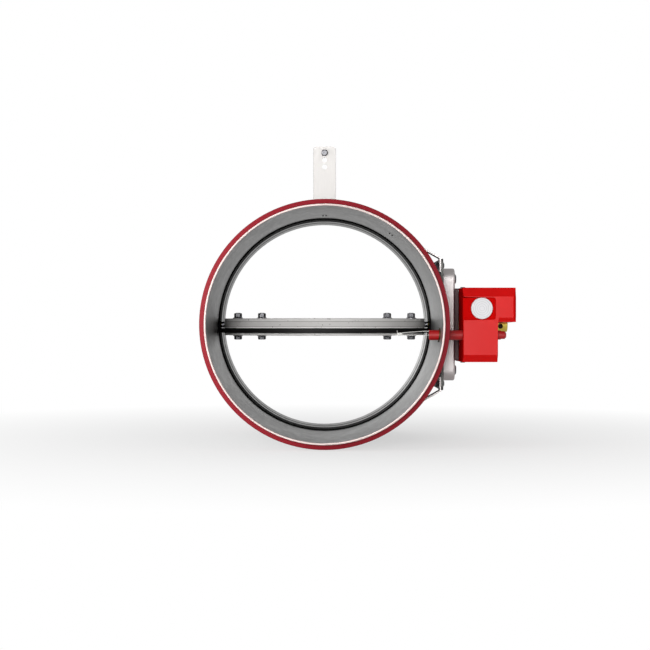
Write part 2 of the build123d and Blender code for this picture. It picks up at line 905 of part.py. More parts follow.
def cover_screw_place():
    """Where a cover screw stands, in X and Y."""
    x = base_outer + cover_wall + 1 + cover_tab_width / 2
    y = base_back - base_wall - cover_tab_length * 0.6
    return x, y


def make_cover_screws():
    """Screws through the cover's top and bottom into the base's tabs."""
    x, y = cover_screw_place()
    seat = cover_top + cover_draft
    low = base_wall_half - cover_tab_thickness - 2
    shank = bar_z(cover_screw_radius - seat_gap, low, seat)
    head = bar_z(cover_screw_head_radius, seat, seat + cover_screw_head_height)
    rim = head.edges().filter_by(GeomType.CIRCLE).sort_by(Axis.Z)[-1]
    screw = Pos(x, y, 0) * (shank + fillet(rim, 1.0))
    drop = -(cover_top + cover_bottom)
    return joined([screw, Pos(0, 0, -drop) * mirror(screw, about=Plane.XY)])


def make_base_screws():
    """Screws that hold the mechanism base on the housing."""
    tip = pan_outer - pan_sheet - 1.2
    head = base_outer + base_screw_head_height
    points = [
        (tip, 0),
        (tip, base_screw_radius),
        (base_outer, base_screw_radius),
        (base_outer, base_screw_head_radius),
        (head - 0.8, base_screw_head_radius),
        (head, base_screw_head_radius - 1.2),
        (head, 0),
    ]
    return joined([turned_x(points, y, z) for y, z in base_screw_points()])


def make_output_bush():
    """Flanged bush of the output shaft, in the base and the housing."""
    bore = output_shaft_radius + running_gap
    barrel = output_shaft_radius + output_bush_wall
    start = pan_outer - pan_sheet - 1.5
    points = [
        (start, bore),
        (start, barrel),
        (base_outer, barrel),
        (base_outer, output_bush_flange_radius),
        (bush_flange_end, output_bush_flange_radius),
        (bush_flange_end, bore),
    ]
    return turned_x(points, output_axis_y)


def cover_outline(inset):
    """Front view of the cover at its back edge: a tall part and a wide upper block."""
    left = base_outer + inset
    right = cover_right + cover_draft - inset
    far = block_right + cover_draft - inset
    top = cover_top + cover_draft - inset
    bottom = cover_bottom - cover_draft + inset
    step = block_bottom - cover_draft + inset
    tall = Pos((left + right) / 2, (top + bottom) / 2) * Rectangle(right - left, top - bottom)
    wide = Pos((left + far) / 2, (top + step) / 2) * Rectangle(far - left, top - step)
    outline = tall + wide
    radius = cover_corner_radius if inset == 0 else 0.8
    return fillet(outline.vertices(), radius)


def bevel_wedge(y, z, depth, height, x0, x1):
    """Wedge that bevels a front edge: it starts at (y, z) and rises by height, in by depth."""
    a = (y - depth / 2, z - height / 2)
    b = (y + depth * 1.5, z + height * 1.5)
    c = (y - depth / 2, z + height * 1.5)
    return slab_yz(make_face(Polyline(a, b, c, close=True)), x0, x1)


def cover_form(inset):
    """Outside of the cover, or its hollow when inset by the wall."""
    front = cover_front + inset
    depth = cover_back - front + inset
    form = extrude(Plane.XZ.offset(-(front + depth)) * cover_outline(inset), depth, taper=draft_angle)
    x0, x1 = base_outer - 5, block_right + 5
    top = cover_top - inset
    bottom = cover_bottom + inset
    step = block_bottom + inset
    form -= bevel_wedge(front, top - top_bevel_height, top_bevel_depth, top_bevel_height, x0, x1)
    form -= bevel_wedge(front, bottom + bottom_bevel_height, bottom_bevel_depth, -bottom_bevel_height, x0, x1)
    block_x = cover_right + cover_draft - inset
    wedge = bevel_wedge(front, step + block_bevel_height, block_bevel_depth, -block_bevel_height, block_x, x1)
    near_step = box_between(block_x, x1, front - 5, front + block_bevel_depth + 1,
                            step - 3, step + block_bevel_height + 3)
    return form - (wedge & near_step)


def make_cover():
    """Moulded cover: hollow, open at the back, with a recess for the button and its sleeve."""
    shell = cover_form(0)
    hollow = cover_form(cover_wall)
    recess = box_between(base_outer - 5, recess_right, cover_front - 5, recess_floor,
                         recess_bottom, recess_top)
    recess = fillet(recess.edges().filter_by(Axis.Y), 3.0)
    behind = box_between(base_outer - 5, recess_right + cover_wall, cover_front - 5, floor_back,
                         recess_bottom - cover_wall, recess_top + cover_wall)
    shell -= hollow - behind
    shell -= recess
    shell += tube_y(sleeve_outer_radius, sleeve_inner_radius, floor_back - 0.5, sleeve_end,
                    button_x, button_height)
    shell -= bar_y(button_radius + hole_gap, cover_front - 1, floor_back + 1, button_x, button_height)
    window_half = base_wall_half + plate_gap
    window = box_between(base_outer - 5, base_outer + cover_wall + 2, base_front + 2, cover_back + 5,
                         -window_half, window_half)
    shell -= window
    slot_half = output_shaft_radius + hole_gap
    slot_top = block_bottom + cover_wall + 2
    wall_x0, wall_x1 = cover_right - cover_wall - 1, cover_right + cover_draft + 1
    shell -= box_between(wall_x0, wall_x1, output_axis_y - slot_half, output_axis_y + slot_half, 0, slot_top)
    shell -= bar_x(slot_half, wall_x0, wall_x1, output_axis_y, 0)
    relief = hub_radius + 1.5
    shell -= box_between(cover_right + cover_draft, hub_end + 0.6,
                         output_axis_y - relief, output_axis_y + relief,
                         block_bottom - 3, block_bottom + cover_wall + 1)
    shell -= bar_x(fuse_tube_radius + seat_gap, base_outer - 5, wall_x1 + 1, fuse_y, fuse_z)
    x, y = cover_screw_place()
    shell -= bar_z(cover_screw_radius + hole_gap, cover_bottom - 5, cover_top + 5, x, y)
    return shell


def make_button():
    """Round release button with fine rings, a flange that keeps it in and a stem."""
    rings = 4
    x, z = button_x, button_height
    shoulder = button_back - button_flange_thickness
    cap = bar_y(button_radius, button_face, shoulder, x, z)
    rim = cap.edges().filter_by(GeomType.CIRCLE).sort_by(Axis.Y)[0]
    cap = fillet(rim, button_edge)
    for ring in range(rings):
        outer = button_radius - button_ring_margin - ring * button_ring_pitch
        inner = outer - button_ring_width
        cap -= tube_y(outer, inner, button_face - 1, button_face + button_ring_depth, x, z)
    flange = bar_y(button_flange_radius, shoulder, button_back, x, z)
    stem = bar_y(button_stem_radius, button_back, stem_end, x, z)
    return cap + flange + stem


def make_button_retainer():
    """Ring that closes the sleeve and guides the stem."""
    return tube_y(sleeve_outer_radius, button_stem_radius + running_gap, sleeve_end,
                  sleeve_end + retainer_thickness, button_x, button_height)


def coil(radius, wire, length, turns, direction, start):
    """A wire coil of a given free length along a direction."""
    line = Helix(pitch=length / turns, height=length, radius=radius, center=start, direction=direction)
    section = Plane(origin=line @ 0, z_dir=line % 0) * Circle(wire)
    return sweep(section, path=line)


def make_button_spring():
    """Coil between the button's flange and the retainer."""
    start = button_back + button_spring_wire + seat_gap
    end = sleeve_end - button_spring_wire - seat_gap
    return coil(button_spring_radius, button_spring_wire, end - start, 4, (0, 1, 0),
                (button_x, start, button_height))


def make_closing_spring():
    """Coil around the output shaft, between the bush and the cam."""
    start = bush_flange_end + closing_spring_wire + seat_gap
    end = cam_start - closing_spring_wire - plate_gap
    return coil(closing_spring_radius, closing_spring_wire, end - start, closing_spring_turns, (1, 0, 0),
                (start, output_axis_y, 0))


def make_output_shaft():
    """Shaft from the linkage through the base and cover to the reset hub."""
    shaft = bar_x(output_shaft_radius, crank_end, hub_end - hub_end_wall, output_axis_y)
    half = crank_square / 2
    y0, y1 = output_axis_y - half, output_axis_y + half
    return shaft + box_between(crank_start, crank_end + 1, y0, y1, -half, half)


def make_latch_cam():
    """Disc on the output shaft with the notch that holds the blade open."""
    outline = Circle(cam_radius) - Circle(output_shaft_radius + seat_gap)
    notch = Pos(0, cam_radius) * Rectangle(cam_notch_width, 2 * cam_notch_depth)
    return Pos(0, output_axis_y, 0) * slab_yz(outline - notch, cam_start, cam_end)


def make_reset_hub():
    """Round hub on the shaft's end with a hole for the reset lever."""
    outer = bar_x(hub_radius, hub_start, hub_end, output_axis_y)
    rims = outer.edges().filter_by(GeomType.CIRCLE)
    hub = chamfer(rims, hub_edge)
    bore_end = hub_end - hub_end_wall + seat_gap
    hub -= bar_x(output_shaft_radius + seat_gap, hub_start - 1, bore_end, output_axis_y)
    key_x = hub_end - hub_key_from_end
    far = output_axis_y - hub_radius - 1
    hub -= bar_y(hub_key_radius, far, output_axis_y - output_shaft_radius, key_x, -hub_key_drop)
    return hub


def latch_arm(y, z, radius):
    """One arm of the latch lever, from its pivot to a round end."""
    hub = Pos(latch_pivot_y, latch_pivot_z) * Circle(latch_hub_radius)
    end = Pos(y, z) * Circle(radius)
    return make_hull(hub.edges() + end.edges())


def make_latch_lever():
    """Bell crank: the button pushes one arm and the other arm's nose leaves the cam."""
    outline = latch_arm(pad_y, pad_z, latch_pad_radius)
    outline += latch_arm(output_axis_y, nose_centre, latch_nose_radius)
    outline -= Pos(latch_pivot_y, latch_pivot_z) * Circle(latch_pin_radius + running_gap)
    return slab_yz(outline, latch_start, latch_start + latch_thickness)


def make_latch_bracket():
    """Bent bracket on the base's back wall that holds the latch pin."""
    inner = latch_thickness / 2 + bracket_side_gap
    back = base_back - base_wall
    front = latch_pivot_y - bracket_nose
    z0, z1 = latch_pivot_z - bracket_half_height, latch_pivot_z + bracket_half_height
    outer = inner + bracket_sheet
    body = box_between(button_x - outer, button_x + outer, front, back, z0, z1)
    body -= box_between(button_x - inner, button_x + inner, front - 1, back - bracket_sheet, z0 - 1, z1 + 1)
    body -= bar_x(latch_pin_radius + seat_gap, button_x - outer - 1, button_x + outer + 1,
                  latch_pivot_y, latch_pivot_z)
    body -= bar_y(bracket_rivet_radius + seat_gap, back - bracket_sheet - 1, back + 1,
                  button_x, latch_pivot_z)
    corners = body.edges().filter_by(Axis.X).group_by(Axis.Y)[0]
    return fillet(corners, 2.5)


def make_latch_pin():
    """Headed pin of the latch lever."""
    half = latch_thickness / 2 + bracket_side_gap + bracket_sheet
    pin = bar_x(latch_pin_radius, button_x - half - 1.0, button_x + half, latch_pivot_y, latch_pivot_z)
    head = bar_x(latch_pin_radius + 1.2, button_x + half, button_x + half + 1.2, latch_pivot_y, latch_pivot_z)
    return pin + head


def make_bracket_rivet():
    """Rivet that fixes the latch bracket to the base."""
    back = base_back - base_wall - bracket_sheet
    head = back - bracket_rivet_head_height
    shank = bar_y(bracket_rivet_radius, head, base_back, button_x, latch_pivot_z)
    return shank + bar_y(bracket_rivet_head_radius, head, back, button_x, latch_pivot_z)


def make_grommet():
    """Thin metal collar where the fuse passes the side of the tunnel."""
    neck = fuse_tube_radius + grommet_neck
    x0, x1 = tunnel_inner_radius - neck, tunnel_outer_radius + neck
    lip = bar_x(neck + grommet_flange, x0, x1, fuse_y, fuse_z)
    core = bar_x(neck - seat_gap, x0, x1, fuse_y, fuse_z)
    reach = 2 * (neck + grommet_flange)
    y0, y1 = fuse_y - reach, fuse_y + reach
    inner = tube_y(tunnel_inner_radius - seat_gap, tunnel_inner_radius - grommet_thickness, y0, y1)
    outer = tube_y(tunnel_outer_radius + grommet_thickness, tunnel_outer_radius + seat_gap, y0, y1)
    wall = tube_y(tunnel_outer_radius + grommet_thickness, tunnel_inner_radius - grommet_thickness, y0, y1)
    body = (lip & inner) + (lip & outer) + (core & wall)
    return body - bar_x(fuse_tube_radius + seat_gap, x0 - 1, x1 + 1, fuse_y, fuse_z)


def make_fuse_tube():
    """Moulded tube of the fuse from the duct to the outside of the cover."""
    bore = fuse_tube_radius - fuse_tube_wall
    points = [
        (fuse_start, 0),
        (fuse_start, fuse_tube_radius - 0.8),
        (fuse_start + 0.8, fuse_tube_radius),
        (cover_right, fuse_tube_radius),
        (cover_right, bore),
        (fuse_start + fuse_tip_wall, bore),
        (fuse_start + fuse_tip_wall, 0),
    ]
    tube = turned_x(points, fuse_y, fuse_z)
    x0 = fuse_start - 1
    lower = leaf_block(x0, fuse_start + fuse_tip_wall + 1, 0, fuse_leaf_width, seat_gap)
    upper = leaf_block(x0, fuse_start + fuse_upper_hold, fuse_upper_height, fuse_upper_width, seat_gap)
    return tube - lower - upper


def leaf_block(x0, x1, rise, width, gap):
    """Straight stretch of a fuse leaf at a height above the fuse's axis."""
    half = width / 2 + gap
    thick = fuse_leaf_thickness / 2 + gap
    return box_between(x0, x1, fuse_y - half, fuse_y + half, fuse_z + rise - thick, fuse_z + rise + thick)


def make_fuse_leaves():
    """Two spring leaves of the fusible link."""
    tip = fuse_start - fuse_leaf_reach
    inside = fuse_start + fuse_tip_wall + 2
    lower = leaf_block(tip, inside, 0, fuse_leaf_width, 0)
    bend_x = fuse_start - fuse_upper_bend_from_tube
    end_x = tip + fuse_upper_end_margin
    start = (fuse_start + fuse_upper_hold, fuse_z + fuse_upper_height)
    bend = (bend_x, fuse_z + fuse_upper_height)
    end = (end_x, fuse_z + fuse_upper_end_height)
    spike = (end_x - 0.6, fuse_z + fuse_upper_end_height + fuse_spike_height)
    outline = Sketch()
    for line in (Line(start, bend), Line(bend, end), Line(end, spike)):
        outline += trace(line, fuse_leaf_thickness)
    for corner in (bend, end):
        outline += Pos(*corner) * Circle(fuse_leaf_thickness / 2)
    half = fuse_upper_width / 2
    upper = slab_xz(outline, fuse_y - half, fuse_y + half)
    return joined([lower, upper])


def make_fuse_solder():
    """Solder block that holds the two leaves together until it melts."""
    tip = fuse_start - fuse_leaf_reach + fuse_upper_end_margin
    half = fuse_upper_width / 2
    low = fuse_z + fuse_leaf_thickness / 2
    high = fuse_z + fuse_upper_end_height - fuse_leaf_thickness / 2 - seat_gap
    return box_between(tip - 1, tip - 1 + fuse_solder_length, fuse_y - half, fuse_y + half, low, high)


def make_fuse_rod():
    """Rod inside the tube that the link holds back against its spring."""
    start = fuse_start + fuse_tip_wall + 2 + seat_gap
    end = cover_right - 2
    collar = spring_start() - seat_gap
    rod = bar_x(fuse_rod_radius, start, end, fuse_y, fuse_z)
    return rod + bar_x(fuse_tube_radius - fuse_tube_wall - running_gap, collar - fuse_collar_length, collar,
                       fuse_y, fuse_z)


def spring_start():
    """Left end of the fuse's spring."""
    return cover_right - 1.2 - fuse_spring_length


def make_fuse_spring():
    """Coil around the fuse rod."""
    start = spring_start() + fuse_spring_wire
    return coil(fuse_spring_radius, fuse_spring_wire, fuse_spring_length - 2 * fuse_spring_wire - seat_gap, 5,
                (1, 0, 0), (start, fuse_y, fuse_z))


def make_fuse_cap():
    """Bevelled cap on the outer end of the fuse."""
    bore = fuse_tube_radius - fuse_tube_wall - seat_gap
    rim = cover_right + cover_draft
    end = fuse_cap_end
    points = [
        (cover_right - 1.2, 0),
        (cover_right - 1.2, bore),
        (cover_right, bore),
        (cover_right, fuse_tube_radius - 0.6),
        (rim + 3.5, fuse_tube_radius - 0.6),
        (rim + 3.5, fuse_cap_radius),
        (end - fuse_cap_bevel, fuse_cap_radius),
        (end, fuse_cap_radius - fuse_cap_bevel),
        (end, 0),
    ]
    return turned_x(points, fuse_y, fuse_z)


def tab_hole_heights():
    """Heights of the three holes in the tab, from the top."""
    top = tab_top - tab_top_hole_margin
    return [top - n * tab_hole_pitch for n in range(3)]


def make_wall_tab():
    """Bent tab on the tunnel that holds the damper in its place."""
    half = tab_width / 2
    back = tab_back_y
    front = tab_back_y - tab_thickness
    seat = tunnel_outer_radius + seat_gap
    foot = tube_y(seat + tab_thickness, seat, front - tab_foot_length, back)
    foot &= box_between(-half, half, front - tab_foot_length - 1, back + 1, 0, seat + 20)
    bottom = seat + tab_thickness / 2
    outline = Pos(0, (tab_top + bottom) / 2) * Rectangle(tab_width, tab_top - bottom)
    outline = chamfer(outline.vertices().group_by(Axis.Y)[-1], tab_corner)
    for z in tab_hole_heights():
        outline -= Pos(0, z) * Circle(tab_hole_radius)
    upright = slab_xz(outline, front, back)
    upright -= bar_y(seat, front - 1, back + 1)
    return foot + upright


def make_tab_screw():
    """Pan-head screw through the tab's top hole."""
    z = tab_hole_heights()[0]
    seat = tab_back_y - tab_thickness
    head = bar_y(tab_screw_head_radius, seat - tab_screw_head_height, seat, 0, z)
    rim = head.edges().filter_by(GeomType.CIRCLE).sort_by(Axis.Y)[0]
    head = fillet(rim, 1.6)
    head -= bar_y(tab_screw_recess_radius, seat - tab_screw_head_height - 1, seat - 0.8, 0, z)
    shank = bar_y(tab_screw_radius, seat - 0.5, seat + tab_screw_length - 4, 0, z)
    tip = Pos(0, seat + tab_screw_length - 4, z) * Rot(-90, 0, 0)
    point = tip * Cone(tab_screw_radius, 0.3, 4, align=(Align.CENTER, Align.CENTER, Align.MIN))
    return head + shank + point


pieces = {
    "tunnel": make_tunnel(),
    "inlet_lip_seal": lip_seal(tunnel_inlet, 1),
    "outlet_lip_seal": lip_seal(tunnel_outlet, -1),
    "intumescent_strip": make_strip(),
    "blade_stops": make_stops(),
    "stop_rivets": make_stop_rivets(),
    "drive_side_bush": make_bush(saddle_outer + bush_tail),
    "idler_side_bush": mirror(make_bush(saddle_inner + bush_tail), about=Plane.YZ),
    "idler_cap": make_idler_cap(),
    "wall_tab": make_wall_tab(),
    "tab_screw": make_tab_screw(),
    "saddle_plate": make_saddle_plate(),
    "saddle_legs": make_saddle_legs(),
    "saddle_screws": make_saddle_screws(),
    "saddle_nuts": make_saddle_nuts(),
    "housing_standoffs": make_standoffs(),
    "housing_back_plate": make_housing_back(),
    "transmission_housing": make_pan(),
    "housing_screws": make_pan_screws(),
    "housing_nuts": make_pan_nuts(),
    "housing_spacers": make_pan_spacers(),
    "mechanism_base": make_mechanism_base(),
    "base_screws": make_base_screws(),
    "mechanism_cover": make_cover(),
    "cover_screws": make_cover_screws(),
    "button_retainer": make_button_retainer(),
    "latch_bracket": make_latch_bracket(),
    "bracket_rivet": make_bracket_rivet(),
    "latch_pin": make_latch_pin(),
    "output_bush": make_output_bush(),
    "closing_spring": make_closing_spring(),
    "fuse_grommet": make_grommet(),
    "fuse_tube": make_fuse_tube(),
    "fuse_leaves": make_fuse_leaves(),
    "fuse_solder": make_fuse_solder(),
    "fuse_rod": make_fuse_rod(),
    "fuse_spring": make_fuse_spring(),
    "fuse_cap": make_fuse_cap(),
    "blade_front_board": make_front_board(),
    "blade_core_board": make_core_board(),
    "blade_rear_board": make_rear_board(),
    "blade_spacer_board": blade_disc(spacer_radius, seal_bottom, seal_top),
    "blade_seal": make_blade_seal(),
    "blade_backing_plate": blade_disc(board_radius, backing_bottom, seal_bottom),
    "drive_shaft": make_drive_shaft(),
    "idler_shaft": make_idler_shaft(),
    "blade_bolts": make_blade_bolts(),
    "blade_nuts": make_blade_nuts(),
    "blade_crank": make_crank(0, crank_square),
    "crank_screw": make_crank_screw(),
    "output_shaft": make_output_shaft(),
    "output_crank": make_crank(output_axis_y, crank_square),
    "latch_cam": make_latch_cam(),
    "reset_hub": make_reset_hub(),
    "push_rod": make_push_rod(),
    "latch_lever": make_latch_lever(),
    "release_button": make_button(),
    "button_spring": make_button_spring(),
}

os.makedirs("parts", exist_ok=True)
for name, piece in pieces.items():
    export_step(piece, f"parts/{name}.step")
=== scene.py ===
"""Looks, small details, floor, lamps and camera for the round fire damper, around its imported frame."""

import json
from math import radians

import bmesh
import bpy
from mathutils import Matrix, Vector


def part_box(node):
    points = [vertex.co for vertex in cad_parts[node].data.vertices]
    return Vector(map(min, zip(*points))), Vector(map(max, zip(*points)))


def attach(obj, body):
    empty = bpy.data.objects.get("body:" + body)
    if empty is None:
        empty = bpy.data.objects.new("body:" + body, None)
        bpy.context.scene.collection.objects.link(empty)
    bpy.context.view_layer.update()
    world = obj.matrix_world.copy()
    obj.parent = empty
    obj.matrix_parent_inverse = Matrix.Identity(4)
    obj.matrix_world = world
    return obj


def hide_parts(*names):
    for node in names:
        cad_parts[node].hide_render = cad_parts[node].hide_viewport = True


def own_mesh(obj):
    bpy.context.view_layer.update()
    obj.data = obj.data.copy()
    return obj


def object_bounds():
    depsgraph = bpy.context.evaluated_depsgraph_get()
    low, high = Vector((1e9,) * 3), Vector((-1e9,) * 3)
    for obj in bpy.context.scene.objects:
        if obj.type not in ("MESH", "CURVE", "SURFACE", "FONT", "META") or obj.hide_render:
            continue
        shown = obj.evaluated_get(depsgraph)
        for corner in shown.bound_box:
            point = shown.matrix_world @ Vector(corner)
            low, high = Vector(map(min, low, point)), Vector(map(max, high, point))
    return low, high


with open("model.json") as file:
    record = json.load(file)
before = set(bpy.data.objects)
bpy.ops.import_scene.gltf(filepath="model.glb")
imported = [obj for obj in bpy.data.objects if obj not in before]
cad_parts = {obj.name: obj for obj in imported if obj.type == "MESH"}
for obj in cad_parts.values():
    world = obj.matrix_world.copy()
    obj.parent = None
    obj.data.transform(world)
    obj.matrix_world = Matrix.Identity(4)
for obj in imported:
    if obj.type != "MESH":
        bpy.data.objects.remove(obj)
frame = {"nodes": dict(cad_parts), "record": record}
cad_low, cad_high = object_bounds()

bl_info = {
    "name": "Round fire damper",
    "version": (1, 0, 0),
    "blender": (4, 5, 0),
    "location": "3D View > Sidebar > Damper",
    "description": "Finishes, details and stage of a round fire damper",
    "category": "Object",
}

nodes = frame["nodes"]
slots = {entry["node"]: entry["material_slot"] for entry in frame["record"]["subparts"]}
tunnel_low, tunnel_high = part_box("tunnel")

# The tunnel's rolled ends, its hem behind the near end and its bead before the far end; the rolled ends get a
# painted highlight, the hem and the bead bands of painted shade
RIM_ROLL = 0.0013
HEM = 0.0095
BEAD = 0.051
BEAD_HALF = 0.0062

# Fine dark lines: the tab's cut sides, the boards' rims and the joints between boards
TAB_CUT = 0.0005
BOARD_SKIN = 0.0004
JOINT_LINE = 0.0004

# Flanges of the blade's fasteners, above the lowest point of each node, painted pale as a painted highlight
NUT_FLANGE = (-0.0001, 0.0022)
BOLT_FLANGE = (0.0044, 0.0067)

# The button, its rings and its recess in the cover, all from the front
# The ring reach and depths bound the painted shade in the rings' grooves
RING_REACH = 0.0125
RING_DEPTHS = (0.0002, 0.0008)
RECESS_DEPTHS = (0.004, 0.0056)
RECESS_ABOVE = 0.003
RECESS_BESIDE = 0.004

# The pairs of rivets: degrees from the top, and place along the duct
RIVET_PAIRS = ((0, -0.077), (36.3, -0.134))
RIVET_SPACING = 0.0044
RIVET_HEIGHT = 0.0026
RIVET_TAPER = 0.72

# The socket in the reset hub, a dark disc of painted shade in its hole, placed from the hub's front and
# middle
SOCKET_DEPTH = 0.0022
SOCKET_SIDE = 0.0001
SOCKET_DROP = 0.0025
SOCKET_RADIUS = 0.0033
SOCKET_THICKNESS = 0.001
SOCKET_WALL = 0.0008
SOCKET_HOLLOW = 0.0006

# The outer end of the cover's side block, and the steps across its rounded edges and the others
BLOCK_DRAFT = 0.0015
BLOCK_STEPS = 5
EDGE_STEPS = 2

# Points this close are one point, in a new piece and in a copy of a node, and angles that tell edges apart
MERGE_NEW = 1e-7
MERGE_COPY = 1e-6
FLAT = radians(1)
SHARP = radians(35)

# The stage: plain white, the floor, the sky that metal shows, and the photograph's frame
WHITE = (1.0, 1.0, 1.0)
FLOOR_HALF = 30
FLOOR_GAP = 0.0005
FLOOR_IN_METAL = 0.35
FLOOR_NEAR = 0.45
SKY_SIDE = (0.5, 0.0, 1.0)
SKY_FALL = 0.35
LAMPS = (
    ("front", (-0.4, -2.4, 0.2), 0.8),
    ("key", (-1.8, -0.9, 0.25), 1.2),
    ("fill", (1.9, -1.2, 0.5), 1.2),
    ("back", (-1.5, 1.6, 0.15), 1.2),
)
SENSOR_WIDTH = 36
PICTURE_WIDTH = 650
SHIFT_PIXELS = (0.4, -0.55)


def screen(red, green, blue):
    """A colour as a screen shows it, 0 to 255, as the linear values that a shader takes."""
    def linear(value):
        value /= 255
        return value / 12.92 if value <= 0.04045 else ((value + 0.055) / 1.055) ** 2.4
    return tuple(linear(value) for value in (red, green, blue))


def colour(name, words, red, green, blue):
    """A colour property, with its default given as a screen shows it."""
    return bpy.props.FloatVectorProperty(
        name=name, description=words, size=3, subtype="COLOR", min=0, max=1,
        default=screen(red, green, blue))


def length(name, words, default):
    """A length property in metres."""
    return bpy.props.FloatProperty(
        name=name, description=words, default=default, min=0, subtype="DISTANCE", unit="LENGTH")


def share(name, words, default, top=1.0):
    """A strength or a share, from 0 up."""
    return bpy.props.FloatProperty(
        name=name, description=words, default=default, min=0, max=top, subtype="FACTOR")


def power(name, words, default):
    """A lamp's power in watts."""
    return bpy.props.FloatProperty(
        name=name, description=words, default=default, min=0, subtype="POWER", unit="POWER")


class DamperColours(bpy.types.PropertyGroup):
    """The colours of the damper's finishes."""
    zinc: colour("Zinc sheet", "Galvanised sheet of the tunnel", 168, 168, 167)
    tab: colour("Bracket", "White passivated bracket", 224, 221, 218)
    plate: colour("Bright zinc", "Housing of the transmission and its legs", 206, 200, 199)
    saddle: colour("Saddle zinc", "Dull zinc of the saddle plate", 104, 104, 101)
    seal: colour("Lip seal", "Red rubber of the two lip seals", 146, 28, 40)
    strip: colour("Intumescent strip", "Black strip around the blade", 4, 4, 4)
    brass: colour("Brass", "Reset hub and the output's bush", 226, 204, 96)
    bush: colour("Bush brass", "Dull brass of the shafts' bushes and the fuse's collar", 74, 68, 38)
    socket: colour("Reset socket", "Dark socket in the reset hub", 34, 26, 10)
    # The reset socket's colour is painted shade in the hub's hole
    rivet: colour("Rivets", "Dark rivet heads in the tunnel", 78, 77, 75)
    fastener: colour("Fasteners", "Zinc plated nuts, bolts and screws", 104, 104, 107)
    base: colour("Mechanism base", "Dark moulded base", 98, 74, 76)
    cover: colour("Mechanism cover", "Red moulded cover of the mechanism", 222, 14, 13)
    tube: colour("Fuse tube", "Deep red tube and cap of the fuse", 168, 10, 14)
    button: colour("Button", "White moulded push button", 236, 236, 238)
    spring: colour("Springs", "Bright spring wire", 176, 176, 180)
    rubber: colour("Black rubber", "Blade seal and stops", 9, 9, 9)
    fuse: colour("Fusible link", "Tinned leaves of the link", 158, 157, 154)
    shaft: colour("Shafts", "Turned steel shafts and cranks", 128, 128, 132)
    front_board: colour("Upper board", "Upper board and backing plate of the blade", 214, 212, 210)
    core_board: colour("Core board", "Core of the blade", 206, 204, 202)
    rear_board: colour("Lower board", "Thin lower board of the blade", 242, 240, 238)
    # The rim colour is a painted highlight of the front-lit rolled edge
    rim: colour("Rolled rim", "Bright rolled edge of the tunnel", 240, 222, 217)
    speck: colour("Board grains", "Dark grains in the board's edge", 92, 88, 84)


class DamperDetails(bpy.types.PropertyGroup):
    """The sizes of small details of the finishes and the edges."""
    spangle: length("Spangle", "Size of one zinc crystal on the sheet", 0.006)
    rivet: length("Rivet", "Diameter of one rivet head in the tunnel", 0.0022)
    soft_edge: length("Moulded edge", "Radius of the cover's edges, twice that of its base", 0.0009)
    block_edge: length("Block edge", "Radius of the outer end of the cover's side block", 0.0045)


class DamperStage(bpy.types.PropertyGroup):
    """The floor, the lamps and the camera."""
    distance: length("Camera distance", "From the blade's axis to the camera", 2.129)
    lens: bpy.props.FloatProperty(
        name="Lens", description="Focal length", default=80.36, min=1,
        subtype="DISTANCE_CAMERA", unit="CAMERA")
    floor: colour("Floor", "Plain pale floor", 236, 236, 236)
    ambient: share("Ambient", "Strength of the sky's light", 0.34, 4.0)
    zenith: share("Zenith", "How bright the top of the sky is in metal", 0.42)
    clear: length("Clear floor", "Distance from the damper at which the floor shows no more shadow", 1.6)
    front: power("Front lamp", "Power of the soft lamp beside the camera", 30)
    key: power("Key lamp", "Power of the large lamp at the left", 20)
    fill: power("Fill lamp", "Power of the lamp at the right", 3)
    back: power("Back lamp", "Power of the lamp behind the damper", 20)


class Wire:
    """A shader socket. Arithmetic on it adds Math nodes."""

    def __init__(self, shader, socket):
        self.shader = shader
        self.socket = socket

    def _math(self, operation, *values):
        inputs = dict(enumerate(values))
        return self.shader.node("ShaderNodeMath", {"operation": operation}, inputs)

    def __add__(self, other):
        return self._math("ADD", self, other)

    def __radd__(self, other):
        return self._math("ADD", other, self)

    def __sub__(self, other):
        return self._math("SUBTRACT", self, other)

    def __rsub__(self, other):
        return self._math("SUBTRACT", other, self)

    def __mul__(self, other):
        return self._math("MULTIPLY", self, other)

    def __rmul__(self, other):
        return self._math("MULTIPLY", other, self)

    def __truediv__(self, other):
        return self._math("DIVIDE", self, other)

    def __gt__(self, other):
        return self._math("GREATER_THAN", self, other)

    def __lt__(self, other):
        return self._math("LESS_THAN", self, other)

    def either(self, other):
        """The larger of two values."""
        return self._math("MAXIMUM", self, other)

    def clamp(self):
        """This value, kept from 0 to 1."""
        return self._math("MINIMUM", self._math("MAXIMUM", self, 0.0), 1.0)


class Shading:
    """A shader tree that grows by one node at a time."""

    def __init__(self, tree):
        self.tree = tree

    def give(self, target, value):
        """Links a wire to a socket, or sets the socket's own value."""
        if isinstance(value, Wire):
            self.tree.links.new(value.socket, target)
        elif target.type == "RGBA" and len(value) == 3:
            target.default_value = (*value, 1.0)
        else:
            target.default_value = value

    def node(self, kind, settings=None, inputs=None, out=0):
        """One node: its settings first, then the values or links of its sockets."""
        made = self.tree.nodes.new(kind)
        for setting, value in (settings or {}).items():
            if setting == "stops":
                ramp = made.color_ramp
                while len(ramp.elements) < len(value):
                    ramp.elements.new(0.5)
                for element, (position, grey) in zip(ramp.elements, value):
                    element.position = position
                    element.color = (grey, grey, grey, 1.0)
            else:
                setattr(made, setting, value)
        for socket, value in (inputs or {}).items():
            self.give(made.inputs[socket], value)
        return Wire(self, made.outputs[out])

    def ray(self, kind):
        """1 for rays of one kind, such as Camera or Glossy."""
        return self.node("ShaderNodeLightPath", out=f"Is {kind} Ray")


